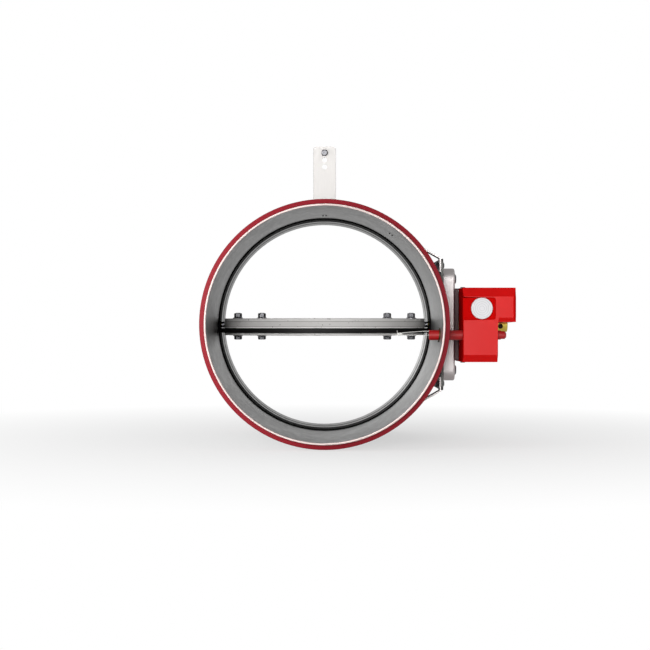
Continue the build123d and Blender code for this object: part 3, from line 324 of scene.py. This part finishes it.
class Finish(Shading):
    """A procedural material around one Principled shader."""

    def __init__(self, name, **constants):
        self.material = bpy.data.materials.new(name)
        self.material.use_nodes = True
        super().__init__(self.material.node_tree)
        self.surface = self.tree.nodes["Principled BSDF"]
        self.set(**constants)
        self.place = self.node("ShaderNodeTexCoord", out="Object")

    def set(self, **links):
        """Links or sets sockets of the Principled shader."""
        for socket, value in links.items():
            self.give(self.surface.inputs[socket.replace("_", " ")], value)

    def axis(self, letter):
        """One object coordinate, in metres."""
        return self.node("ShaderNodeSeparateXYZ", {}, {"Vector": self.place}, letter)

    def band(self, value, low, high):
        """1 where a value lies between two limits, else 0."""
        return (value > low) * (value < high)

    def stretched(self, x, y, z):
        """Object coordinates with each axis scaled."""
        return self.node("ShaderNodeMapping", {}, {"Vector": self.place, "Scale": (x, y, z)})

    def noise(self, scale, detail=4.0, roughness=0.55, place=None):
        """Smooth noise from 0 to 1."""
        return self.node("ShaderNodeTexNoise", {}, {
            "Vector": place or self.place, "Scale": scale, "Detail": detail, "Roughness": roughness})

    def cells(self, scale, out="Distance"):
        """Crystals or grains: how far the nearest one is, or one colour for each."""
        return self.node("ShaderNodeTexVoronoi", {}, {"Vector": self.place, "Scale": scale}, out)

    def ramp(self, value, *stops):
        """Greys that follow a value, from (position, grey) stops."""
        return self.node("ShaderNodeValToRGB", {"stops": stops}, {"Fac": value}, "Color")

    def mix(self, factor, first, second):
        """Two colours mixed."""
        return self.node("ShaderNodeMix", {"data_type": "RGBA"}, {0: factor, 6: first, 7: second}, 2)

    def bump(self, height, distance, strength):
        """Small relief, in metres."""
        return self.node("ShaderNodeBump", {}, {"Height": height, "Distance": distance, "Strength": strength})

    def reach(self, x, y, z, middle=(0.0, 0.0, 0.0)):
        """How far a point lies from the middle, once it is moved and its axes are scaled."""
        flat = self.node("ShaderNodeMapping", {}, {
            "Vector": self.place, "Location": middle, "Scale": (x, y, z)})
        return self.node("ShaderNodeVectorMath", {"operation": "LENGTH"}, {0: flat}, "Value")


def tone(value, factor):
    """A colour made darker or lighter by a factor."""
    return tuple(min(1.0, part * factor) for part in value)


def zinc_sheet(name, base, spangle, roughness=0.36, rim=None):
    """Galvanised sheet: crystals of different greys, a dull bloom and fine rolling marks. Given a rim colour,
    the rolled ends take it as a painted highlight, pale and less metallic, and the hem and the bead get bands
    of painted shade.
    """
    finish = Finish(name, Metallic=1.0)
    size = 1 / spangle
    wobble = finish.noise(220, 3)
    crystal = finish.cells(size, out="Color")
    grey = finish.node("ShaderNodeSeparateColor", {}, {"Color": crystal}, "Red")
    bloom = finish.noise(16, 5, 0.6)
    value = (grey * 0.16 + bloom * 0.5 + wobble * 0.12 - 0.36).clamp()
    skin = finish.mix(value * 1.4, tone(base, 0.72), tone(base, 1.12))
    roughness = grey * 0.10 + bloom * 0.16 + roughness - 0.13
    if rim is not None:
        along = finish.axis("Y")
        # The rolled ends: a pale, less metallic colour as a painted highlight of the front-lit rim
        edge = (((tunnel_low.y + RIM_ROLL) - along) > 0).either((along - (tunnel_high.y - RIM_ROLL)) > 0)
        # Painted shade: a dark band behind the hem and a fainter one at the bead
        hem_painted_shade = finish.band(along, tunnel_low.y + RIM_ROLL, tunnel_low.y + HEM)
        bead = finish.band(along, tunnel_high.y - BEAD - BEAD_HALF, tunnel_high.y - BEAD + BEAD_HALF)
        skin = finish.mix((hem_painted_shade * 0.6).either(bead * 0.4), skin, tone(base, 0.25))
        skin = finish.mix(edge, skin, rim)
        finish.set(Metallic=1.0 - edge * 0.75)
        roughness = roughness + edge * 0.2
    finish.set(
        Base_Color=skin, Roughness=roughness,
        Normal=finish.bump(wobble * 0.4 + grey * 0.3, 0.00008, 0.35))
    return finish.material


def satin_metal(name, base, roughness, grain=900.0, along=(1, 1, 1), metallic=1.0, spread=0.12):
    """Plated or turned metal with fine marks along one axis and faint stains."""
    finish = Finish(name, Metallic=metallic)
    marks = finish.noise(grain, 2, place=finish.stretched(*along))
    stain = finish.noise(34, 4)
    cloud = (stain * 0.7 + marks * 0.3).clamp()
    finish.set(
        Base_Color=finish.mix(cloud, tone(base, 1 - spread), tone(base, 1 + spread)),
        Roughness=marks * 0.14 + stain * 0.10 + roughness - 0.12,
        Normal=finish.bump(marks, 0.00003, 0.5))
    return finish.material


def bracket_paint(name, base):
    """The upright tab's pale coat, thin and grey along its cut sides."""
    low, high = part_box("wall_tab")
    finish = Finish(name, Metallic=0.1)
    brushed = finish.noise(700, 2, place=finish.stretched(1, 1, 0.1))
    across = finish.axis("X")
    side = (across < low.x + TAB_CUT).either(across > high.x - TAB_CUT)
    coat = finish.mix(brushed, tone(base, 0.96), tone(base, 1.04))
    finish.set(
        Base_Color=finish.mix(side * 0.6, coat, tone(base, 0.3)),
        Roughness=brushed * 0.1 + 0.5)
    return finish.material


def flanged_fastener(name, base, node, flange_low, flange_high):
    """Dark nut or bolt head, with its flange painted pale as a painted highlight."""
    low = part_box(node)[0].z
    finish = Finish(name, Metallic=1.0)
    marks = finish.noise(900, 2)
    # Painted highlight: the flange's band of heights is painted pale
    flange = finish.band(finish.axis("Z"), low + flange_low, low + flange_high)
    body = finish.mix(marks, tone(base, 0.8), tone(base, 1.1))
    finish.set(Base_Color=finish.mix(flange, body, tone(base, 3.2)), Roughness=marks * 0.14 + 0.32)
    return finish.material


def rubber(name, base, roughness):
    """Rubber with a fine skin and a dusty bloom."""
    finish = Finish(name, Specular_IOR_Level=0.25)
    skin = finish.noise(1500, 3)
    dust = finish.noise(40, 5, 0.65)
    finish.set(
        Base_Color=finish.mix((dust * 1.6 - 0.5).clamp() * 0.1, base, tone(base, 3.0)),
        Roughness=dust * 0.16 + roughness - 0.08,
        Normal=finish.bump(skin, 0.00005, 0.6))
    return finish.material


def lipped_rubber(name, base):
    """Red rubber with painted light across its lips: painted highlights on the two lips, painted shade at
    their root, between them and at their edge.
    """
    finish = Finish(name, Specular_IOR_Level=0.25)
    skin = finish.noise(1500, 3)
    root, edge = tunnel_high.x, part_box("inlet_lip_seal")[1].x
    # Painted highlights on the two lips and painted shade at their root, between them and at their edge, by
    # distance from the duct's axis
    height = (finish.reach(1, 0, 1) - root) / (edge - root)
    lip_painted_light = finish.ramp(height, (0.0, 0.55), (0.3, 1.0), (0.5, 0.7), (0.7, 1.0), (1.0, 0.5))
    finish.set(
        Base_Color=finish.mix(lip_painted_light, tone(base, 0.45), tone(base, 1.1)),
        Roughness=skin * 0.1 + 0.55,
        Normal=finish.bump(skin, 0.00005, 0.6))
    return finish.material


def moulded(name, base, roughness):
    """Moulded plastic with a fine grain and faint flow marks."""
    finish = Finish(name)
    skin = finish.noise(1800, 2)
    flow = finish.noise(12, 3)
    finish.set(
        Base_Color=finish.mix((flow * 1.4 - 0.4).clamp(), tone(base, 0.93), tone(base, 1.05)),
        Roughness=flow * 0.10 + skin * 0.06 + roughness - 0.08,
        Normal=finish.bump(skin, 0.00002, 0.5))
    return finish.material


def mineral_board(name, node, base, speck):
    """Pressed mineral board: pale, fibrous, with dark grains and dark joints at its faces."""
    low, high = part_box(node)
    finish = Finish(name)
    fibre = finish.noise(700, 5, 0.7, finish.stretched(1, 1, 2.5))
    cloud = finish.noise(30, 4)
    grains = finish.cells(170)
    grain_mask = ((0.17 - grains) * 14).clamp() * (finish.noise(90, 2) > 0.5)
    body = finish.mix((cloud * 0.6 + fibre * 0.6 - 0.1).clamp(), tone(base, 0.82), tone(base, 1.08))
    at_rim = finish.reach(1, 1, 0) > high.y - BOARD_SKIN
    joint = at_rim * (1.0 - finish.band(finish.axis("Z"), low.z + JOINT_LINE, high.z - JOINT_LINE))
    body = finish.mix(joint * 0.6, body, speck)
    fine = finish.cells(330)
    fine_mask = ((0.15 - fine) * 16).clamp() * (finish.noise(38, 3) > 0.56)
    body = finish.mix(fine_mask * 0.8, body, speck)
    finish.set(
        Base_Color=finish.mix(grain_mask, body, speck),
        Roughness=fibre * 0.12 + 0.78,
        Normal=finish.bump(fibre - grain_mask, 0.00015, 0.6))
    return finish.material


def graphite_strip(name, base):
    """Intumescent strip: matt black with a woven facing."""
    finish = Finish(name, Specular_IOR_Level=0.1)
    weave = finish.noise(900, 2)
    flakes = finish.cells(500)
    finish.set(
        Base_Color=finish.mix((weave * 1.5 - 0.4).clamp(), tone(base, 0.7), tone(base, 1.8)),
        Roughness=weave * 0.15 + 0.72,
        Normal=finish.bump(flakes, 0.00010, 0.5))
    return finish.material


def dress(material, *names):
    """Gives one material to CAD nodes."""
    for name in names:
        data = nodes[name].data
        data.materials.clear()
        data.materials.append(material)


def slot_nodes(slot):
    """The CAD nodes that take their finish from one slot."""
    return [name for name, used in slots.items() if used == slot]


def finished(name, mesh, material, body):
    """Makes a bmesh an object at the origin, smooth but for its sharp edges, which rides on a body."""
    bmesh.ops.remove_doubles(mesh, verts=mesh.verts, dist=MERGE_NEW)
    bmesh.ops.recalc_face_normals(mesh, faces=mesh.faces)
    data = bpy.data.meshes.new(name)
    mesh.to_mesh(data)
    mesh.free()
    data.materials.append(material)
    data.shade_smooth()
    data.set_sharp_from_angle(angle=SHARP)
    made = bpy.data.objects.new(name, data)
    bpy.context.scene.collection.objects.link(made)
    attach(made, body)
    return made


def rounded(mesh, radius, segments, shortest, choose=lambda edge: True):
    """Rounds the outer sharp edges of a moulding, with the new faces shaded smooth."""
    sharp = [edge for edge in mesh.edges
             if edge.is_manifold and edge.is_convex and edge.calc_face_angle(0) > SHARP
             and edge.calc_length() > shortest and choose(edge)]
    grown = bmesh.ops.bevel(
        mesh, geom=sharp, offset=radius, affect="EDGES", segments=segments, profile=0.5, material=-1)
    for face in grown["faces"]:
        face.smooth = True


def rivet_head(mesh, place, radius, turn):
    """A low round head with a softened edge, set down at a place."""
    grown = bmesh.ops.create_cone(
        mesh, cap_ends=True, segments=20, radius1=radius, radius2=radius * RIVET_TAPER, depth=RIVET_HEIGHT)
    bmesh.ops.transform(mesh, matrix=Matrix.Translation(place) @ turn, verts=grown["verts"])


def moulded_cover(name, base):
    """The red cover: a glossy skin, a deeper red without coat in the button's recess, and painted shade on
    the bevels and sides: the same deeper red, without coat.
    """
    low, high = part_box("mechanism_cover")
    button_low, button_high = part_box("release_button")
    finish = Finish(name, Coat_Roughness=0.28, Specular_IOR_Level=0.0)
    skin = finish.noise(1800, 2)
    flow = finish.noise(12, 3)
    recess = finish.band(finish.axis("Y"), *(low.y + depth for depth in RECESS_DEPTHS))
    recess = recess * finish.band(finish.axis("Z"), button_low.z, button_high.z + RECESS_ABOVE)
    recess = recess * (finish.axis("X") < button_high.x + RECESS_BESIDE)
    side = {"Vector": finish.node("ShaderNodeTexCoord", out="Normal")}
    facing = finish.node("ShaderNodeSeparateXYZ", {}, side, "Y")
    across = finish.node("ShaderNodeSeparateXYZ", {}, side, "X")
    # Painted shade: faces turned to the left, the rounding towards the right and the bevels between the front
    # and the sides take the deeper red and lose the coat
    painted_shade_sides = (across < -0.7).either(finish.band(across, 0.3, 0.95))
    front = (facing < -0.93).either(facing > -0.3)
    outer = (1.0 - recess) * (front * 0.7 + 0.3) * (1.0 - painted_shade_sides)
    # The deeper red serves the recess and the painted shade
    deep = tone(base, 0.84)
    shade = finish.mix((flow * 1.4 - 0.4).clamp(), tone(base, 0.95), tone(base, 1.04))
    finish.set(
        Base_Color=finish.mix(outer, deep, shade),
        Coat_Weight=outer * 0.8,
        Roughness=flow * 0.08 + 0.34,
        Normal=finish.bump(skin, 0.00002, 0.5))
    return finish.material


def ringed_button(name, base):
    """The white button, with painted shade in the grooves of its fine rings and a faint random cloud."""
    low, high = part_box("release_button")
    middle = (low + high) / 2
    finish = Finish(name, Coat_Weight=0.3, Coat_Roughness=0.18)
    # Painted shade: faces set back by the ring depths, within the ring reach of the middle, are darkened
    rings = finish.band(finish.axis("Y"), *(low.y + depth for depth in RING_DEPTHS))
    face = rings * (finish.reach(1, 0, 1, (-middle.x, 0.0, -middle.z)) < RING_REACH)
    cloud = finish.noise(160, 3)
    finish.set(
        Base_Color=finish.mix((face * 0.4 + cloud * 0.12).clamp(), base, tone(base, 0.62)),
        Roughness=cloud * 0.10 + 0.32)
    return finish.material


class DAMPER_OT_metals(bpy.types.Operator):
    """Gives the sheet metal, fasteners, shafts, springs and brass their finishes"""
    bl_idname = "damper.metals"
    bl_label = "Metal finishes"

    def execute(self, context):
        tints, details = context.scene.damper_colours, context.scene.damper_details
        sheet = zinc_sheet("galvanised_sheet", tints.zinc, details.spangle, rim=tints.rim)
        dark = tone(tints.fastener, 0.75)
        bushes = "drive_side_bush", "idler_side_bush", "fuse_grommet"
        dress(sheet, *slot_nodes("galvanised"))
        dress(bracket_paint("white_bracket", tints.tab), *slot_nodes("painted_bracket"))
        dress(satin_metal("bright_zinc", tints.plate, 0.42, 500, spread=0.05), *slot_nodes("zinc_plate"))
        dress(zinc_sheet("saddle_zinc", tints.saddle, 0.009, 0.42), "saddle_plate")
        dress(satin_metal("brass", tints.brass, 0.32, 1400, (0.2, 1, 1)), *slot_nodes("brass"))
        dress(satin_metal("plated_fastener", tints.fastener, 0.34, 900), *slot_nodes("fastener"))
        dress(flanged_fastener("lock_nut", dark, "blade_nuts", *NUT_FLANGE), "blade_nuts")
        dress(flanged_fastener("flanged_bolt", dark, "blade_bolts", *BOLT_FLANGE), "blade_bolts")
        dress(satin_metal("spring_wire", tints.spring, 0.30, 1200), *slot_nodes("spring_steel"))
        dress(satin_metal("fuse_leaf", tints.fuse, 0.42, 900, (0.1, 1, 1)), *slot_nodes("fuse_metal"))
        dress(satin_metal("turned_shaft", tints.shaft, 0.38, 1600, (1, 0.1, 0.1)), *slot_nodes("shaft_steel"))
        dress(satin_metal("bush_brass", tints.bush, 0.45), *bushes)
        return {"FINISHED"}


class DAMPER_OT_rubbers(bpy.types.Operator):
    """Gives the lip seals, the strip and the blade's seal their finishes"""
    bl_idname = "damper.rubbers"
    bl_label = "Seal finishes"

    def execute(self, context):
        tints = context.scene.damper_colours
        dress(lipped_rubber("red_rubber", tints.seal), *slot_nodes("red_rubber"))
        dress(rubber("black_rubber", tints.rubber, 0.60), *slot_nodes("black_rubber"))
        dress(graphite_strip("black_strip", tints.strip), *slot_nodes("black_strip"))
        return {"FINISHED"}


class DAMPER_OT_boards(bpy.types.Operator):
    """Gives the blade's boards their finish"""
    bl_idname = "damper.boards"
    bl_label = "Blade board finish"

    def execute(self, context):
        tints = context.scene.damper_colours
        for node, base in (
            ("blade_front_board", tints.front_board),
            ("blade_core_board", tints.core_board),
            ("blade_rear_board", tints.rear_board),
            ("blade_spacer_board", tints.core_board),
            ("blade_backing_plate", tints.front_board),
        ):
            dress(mineral_board(node + "_face", node, base, tints.speck), node)
        return {"FINISHED"}


class DAMPER_OT_plastics(bpy.types.Operator):
    """Gives the mechanism's mouldings their finishes"""
    bl_idname = "damper.plastics"
    bl_label = "Moulding finishes"

    def execute(self, context):
        tints = context.scene.damper_colours
        dress(moulded("red_plastic", tints.tube, 0.42), *slot_nodes("red_plastic"))
        dress(moulded_cover("red_cover", tints.cover), "mechanism_cover")
        dress(moulded("dark_plastic", tints.base, 0.55), *slot_nodes("dark_plastic"))
        dress(ringed_button("white_plastic", tints.button), *slot_nodes("white_plastic"))
        return {"FINISHED"}


class DAMPER_OT_rivets(bpy.types.Operator):
    """Adds the two pairs of rivet heads inside the tunnel"""
    bl_idname = "damper.rivets"
    bl_label = "Rivets"

    def execute(self, context):
        radius = context.scene.damper_details.rivet / 2
        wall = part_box("intumescent_strip")[1].x
        mesh = bmesh.new()
        for angle, along in RIVET_PAIRS:
            turn = Matrix.Rotation(radians(angle), 4, "Y")
            for side in (-RIVET_SPACING / 2, RIVET_SPACING / 2):
                rivet_head(mesh, turn @ Vector((side, along, wall)), radius, turn)
        dark = satin_metal("rivet_steel", context.scene.damper_colours.rivet, 0.6, metallic=0.6)
        finished("wall_rivets", mesh, dark, "frame")
        return {"FINISHED"}


class DAMPER_OT_reset_socket(bpy.types.Operator):
    """Adds a dark round disc with a shallow hollow in the reset hub's hole, as painted shade in the hole"""
    bl_idname = "damper.reset_socket"
    bl_label = "Reset socket"

    def execute(self, context):
        low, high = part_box("reset_hub")
        middle = (low + high) / 2
        # A dark disc with a hollow, as painted shade in the hub's hole
        mesh = bmesh.new()
        turn = Matrix.Rotation(radians(90), 4, "X")
        place = Matrix.Translation((middle.x + SOCKET_SIDE, low.y + SOCKET_DEPTH, middle.z - SOCKET_DROP))
        bmesh.ops.create_cone(
            mesh, cap_ends=True, segments=24, radius1=SOCKET_RADIUS, radius2=SOCKET_RADIUS,
            depth=SOCKET_THICKNESS, matrix=place @ turn)
        front = min(mesh.faces, key=lambda face: face.calc_center_median().y)
        bmesh.ops.inset_region(mesh, faces=[front], thickness=SOCKET_WALL, depth=-SOCKET_HOLLOW)
        dark = satin_metal("reset_socket_steel", context.scene.damper_colours.socket, 0.6, metallic=0.3)
        finished("reset_socket", mesh, dark, "output")
        return {"FINISHED"}


class DAMPER_OT_button_spring(bpy.types.Operator):
    """Makes the button's return spring a piece of its own on the frame, copied from its CAD node, which it
    hides
    """
    bl_idname = "damper.button_spring"
    bl_label = "Button spring"

    def execute(self, context):
        source = nodes["button_spring"]
        mesh = bmesh.new()
        mesh.from_mesh(source.data)
        wire = source.data.materials[0]
        made = finished("button_return_spring", mesh, wire, "frame")
        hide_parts("button_spring")
        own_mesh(made)
        return {"FINISHED"}


class DAMPER_OT_soft_mouldings(bpy.types.Operator):
    """Rounds the edges of the cover and its base, and the outer end of the cover's side block most"""
    bl_idname = "damper.soft_mouldings"
    bl_label = "Moulded edges"

    def execute(self, context):
        details = context.scene.damper_details
        edges = {"mechanism_cover": details.soft_edge, "mechanism_base": details.soft_edge / 2}
        for node, radius in edges.items():
            source = nodes[node]
            mesh = bmesh.new()
            mesh.from_mesh(source.data)
            bmesh.ops.remove_doubles(mesh, verts=mesh.verts, dist=MERGE_COPY)
            bmesh.ops.dissolve_limit(mesh, angle_limit=FLAT, verts=mesh.verts, edges=mesh.edges)
            for face in mesh.faces:
                face.smooth = False
            if node == "mechanism_cover":
                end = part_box(node)[1].x - BLOCK_DRAFT
                rounded(mesh, details.block_edge, BLOCK_STEPS, details.block_edge,
                        lambda edge: all(vert.co.x > end for vert in edge.verts))
            rounded(mesh, radius, EDGE_STEPS, 3 * radius)
            data = bpy.data.meshes.new(node + "_moulding")
            mesh.to_mesh(data)
            mesh.free()
            data.materials.append(source.data.materials[0])
            made = bpy.data.objects.new(node + "_moulding", data)
            context.scene.collection.objects.link(made)
            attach(made, "frame")
            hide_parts(node)
        return {"FINISHED"}


class DAMPER_OT_stage(bpy.types.Operator):
    """Makes the floor, the sky, the lamps and the camera"""
    bl_idname = "damper.stage"
    bl_label = "Stage"

    def execute(self, context):
        scene, stage = context.scene, context.scene.damper_stage
        make_floor(scene, stage)
        scene.world = pale_sky(stage)
        for name, place, size in LAMPS:
            make_lamp(scene, name + "_lamp", place, getattr(stage, name), size)
        make_camera(scene, stage)
        scene.view_settings.view_transform = "Standard"
        return {"FINISHED"}


def make_floor(scene, stage):
    """The floor under the damper, which fades to plain white away from it."""
    mesh = bmesh.new()
    bmesh.ops.create_grid(mesh, x_segments=2, y_segments=2, size=FLOOR_HALF)
    bmesh.ops.translate(mesh, vec=(0, 0, cad_low.z - FLOOR_GAP), verts=mesh.verts)
    data = bpy.data.meshes.new("floor")
    mesh.to_mesh(data)
    mesh.free()
    floor = bpy.data.objects.new("floor", data)
    scene.collection.objects.link(floor)
    finish = Finish("pale_floor", Base_Color=stage.floor, Roughness=0.9)
    seen = finish.ray("Camera").either(finish.ray("Transmission"))
    seen = seen.either(finish.ray("Glossy") * FLOOR_IN_METAL)
    fade = (finish.reach(1, 1, 1) / stage.clear + FLOOR_NEAR).clamp()
    body = Wire(finish, finish.surface.outputs[0])
    glow = finish.node("ShaderNodeEmission", {}, {"Color": WHITE, "Strength": 1.0})
    shown = finish.node("ShaderNodeMixShader", {}, {0: seen * fade, 1: body, 2: glow})
    finish.give(finish.tree.nodes["Material Output"].inputs["Surface"], shown)
    data.materials.append(finish.material)


def pale_sky(stage):
    """Soft light from all sides, seen as white, and greyer towards the top where metal shows it."""
    world = bpy.data.worlds.new("pale_sky")
    world.use_nodes = True
    sky = Shading(world.node_tree)
    direct = sky.ray("Camera").either(sky.ray("Transmission"))
    direction = sky.node("ShaderNodeTexCoord", out="Generated")
    up = sky.node("ShaderNodeVectorMath", {"operation": "DOT_PRODUCT"}, {0: direction, 1: SKY_SIDE}, "Value")
    fall = sky.node("ShaderNodeMapRange", {}, {
        "Value": up, "From Min": 0.0, "From Max": SKY_FALL, "To Min": 1.0, "To Max": stage.zenith})
    light = sky.tree.nodes["Background"]
    sky.give(light.inputs["Color"], WHITE)
    sky.give(light.inputs["Strength"], stage.ambient)
    white = sky.node("ShaderNodeBackground", {}, {"Color": WHITE, "Strength": direct.either(fall)})
    both = sky.node("ShaderNodeMixShader", {}, {
        0: direct.either(sky.ray("Glossy")), 1: Wire(sky, light.outputs[0]), 2: white})
    sky.give(sky.tree.nodes["World Output"].inputs["Surface"], both)
    return world


def make_lamp(scene, name, place, watts, size):
    """One square soft lamp that faces the damper's middle."""
    lamp = bpy.data.lights.new(name, "AREA")
    lamp.energy = watts
    lamp.size = size
    made = bpy.data.objects.new(name, lamp)
    scene.collection.objects.link(made)
    made.location = place
    made.rotation_euler = (-Vector(place)).to_track_quat("-Z", "Y").to_euler()


def make_camera(scene, stage):
    """The camera in front of the damper, on the duct's axis."""
    eye = bpy.data.cameras.new("photo_camera")
    eye.lens = stage.lens
    eye.sensor_width = SENSOR_WIDTH
    eye.shift_x, eye.shift_y = (shift / PICTURE_WIDTH for shift in SHIFT_PIXELS)
    camera = bpy.data.objects.new("photo_camera", eye)
    scene.collection.objects.link(camera)
    camera.location = (0, -stage.distance, 0)
    camera.rotation_euler = (radians(90), 0, 0)
    scene.camera = camera


class DAMPER_PT_panel(bpy.types.Panel):
    """Lists the damper's steps in the sidebar"""
    bl_idname = "DAMPER_PT_panel"
    bl_label = "Round fire damper"
    bl_space_type = "VIEW_3D"
    bl_region_type = "UI"
    bl_category = "Damper"

    def draw(self, context):
        for step in steps:
            self.layout.operator(step.bl_idname)
        for settings in ("damper_colours", "damper_details", "damper_stage"):
            group = getattr(context.scene, settings)
            column = self.layout.column(align=True)
            for field in group.bl_rna.properties:
                if not field.is_readonly:
                    column.prop(group, field.identifier)


settings_groups = {
    "damper_colours": DamperColours,
    "damper_details": DamperDetails,
    "damper_stage": DamperStage,
}
steps = (
    DAMPER_OT_metals,
    DAMPER_OT_rubbers,
    DAMPER_OT_boards,
    DAMPER_OT_plastics,
    DAMPER_OT_rivets,
    DAMPER_OT_reset_socket,
    DAMPER_OT_button_spring,
    DAMPER_OT_soft_mouldings,
    DAMPER_OT_stage,
)


def register():
    """Registers the settings, the steps and the panel."""
    for name, group in settings_groups.items():
        bpy.utils.register_class(group)
        setattr(bpy.types.Scene, name, bpy.props.PointerProperty(type=group))
    for step in (*steps, DAMPER_PT_panel):
        bpy.utils.register_class(step)


def unregister():
    """Takes them away again."""
    for step in (DAMPER_PT_panel, *reversed(steps)):
        bpy.utils.unregister_class(step)
    for name, group in settings_groups.items():
        delattr(bpy.types.Scene, name)
        bpy.utils.unregister_class(group)


def main():
    """Runs every step in order."""
    register()
    for step in steps:
        area, name = step.bl_idname.split(".")
        getattr(getattr(bpy.ops, area), name)()


if __name__ == "__main__":
    main()
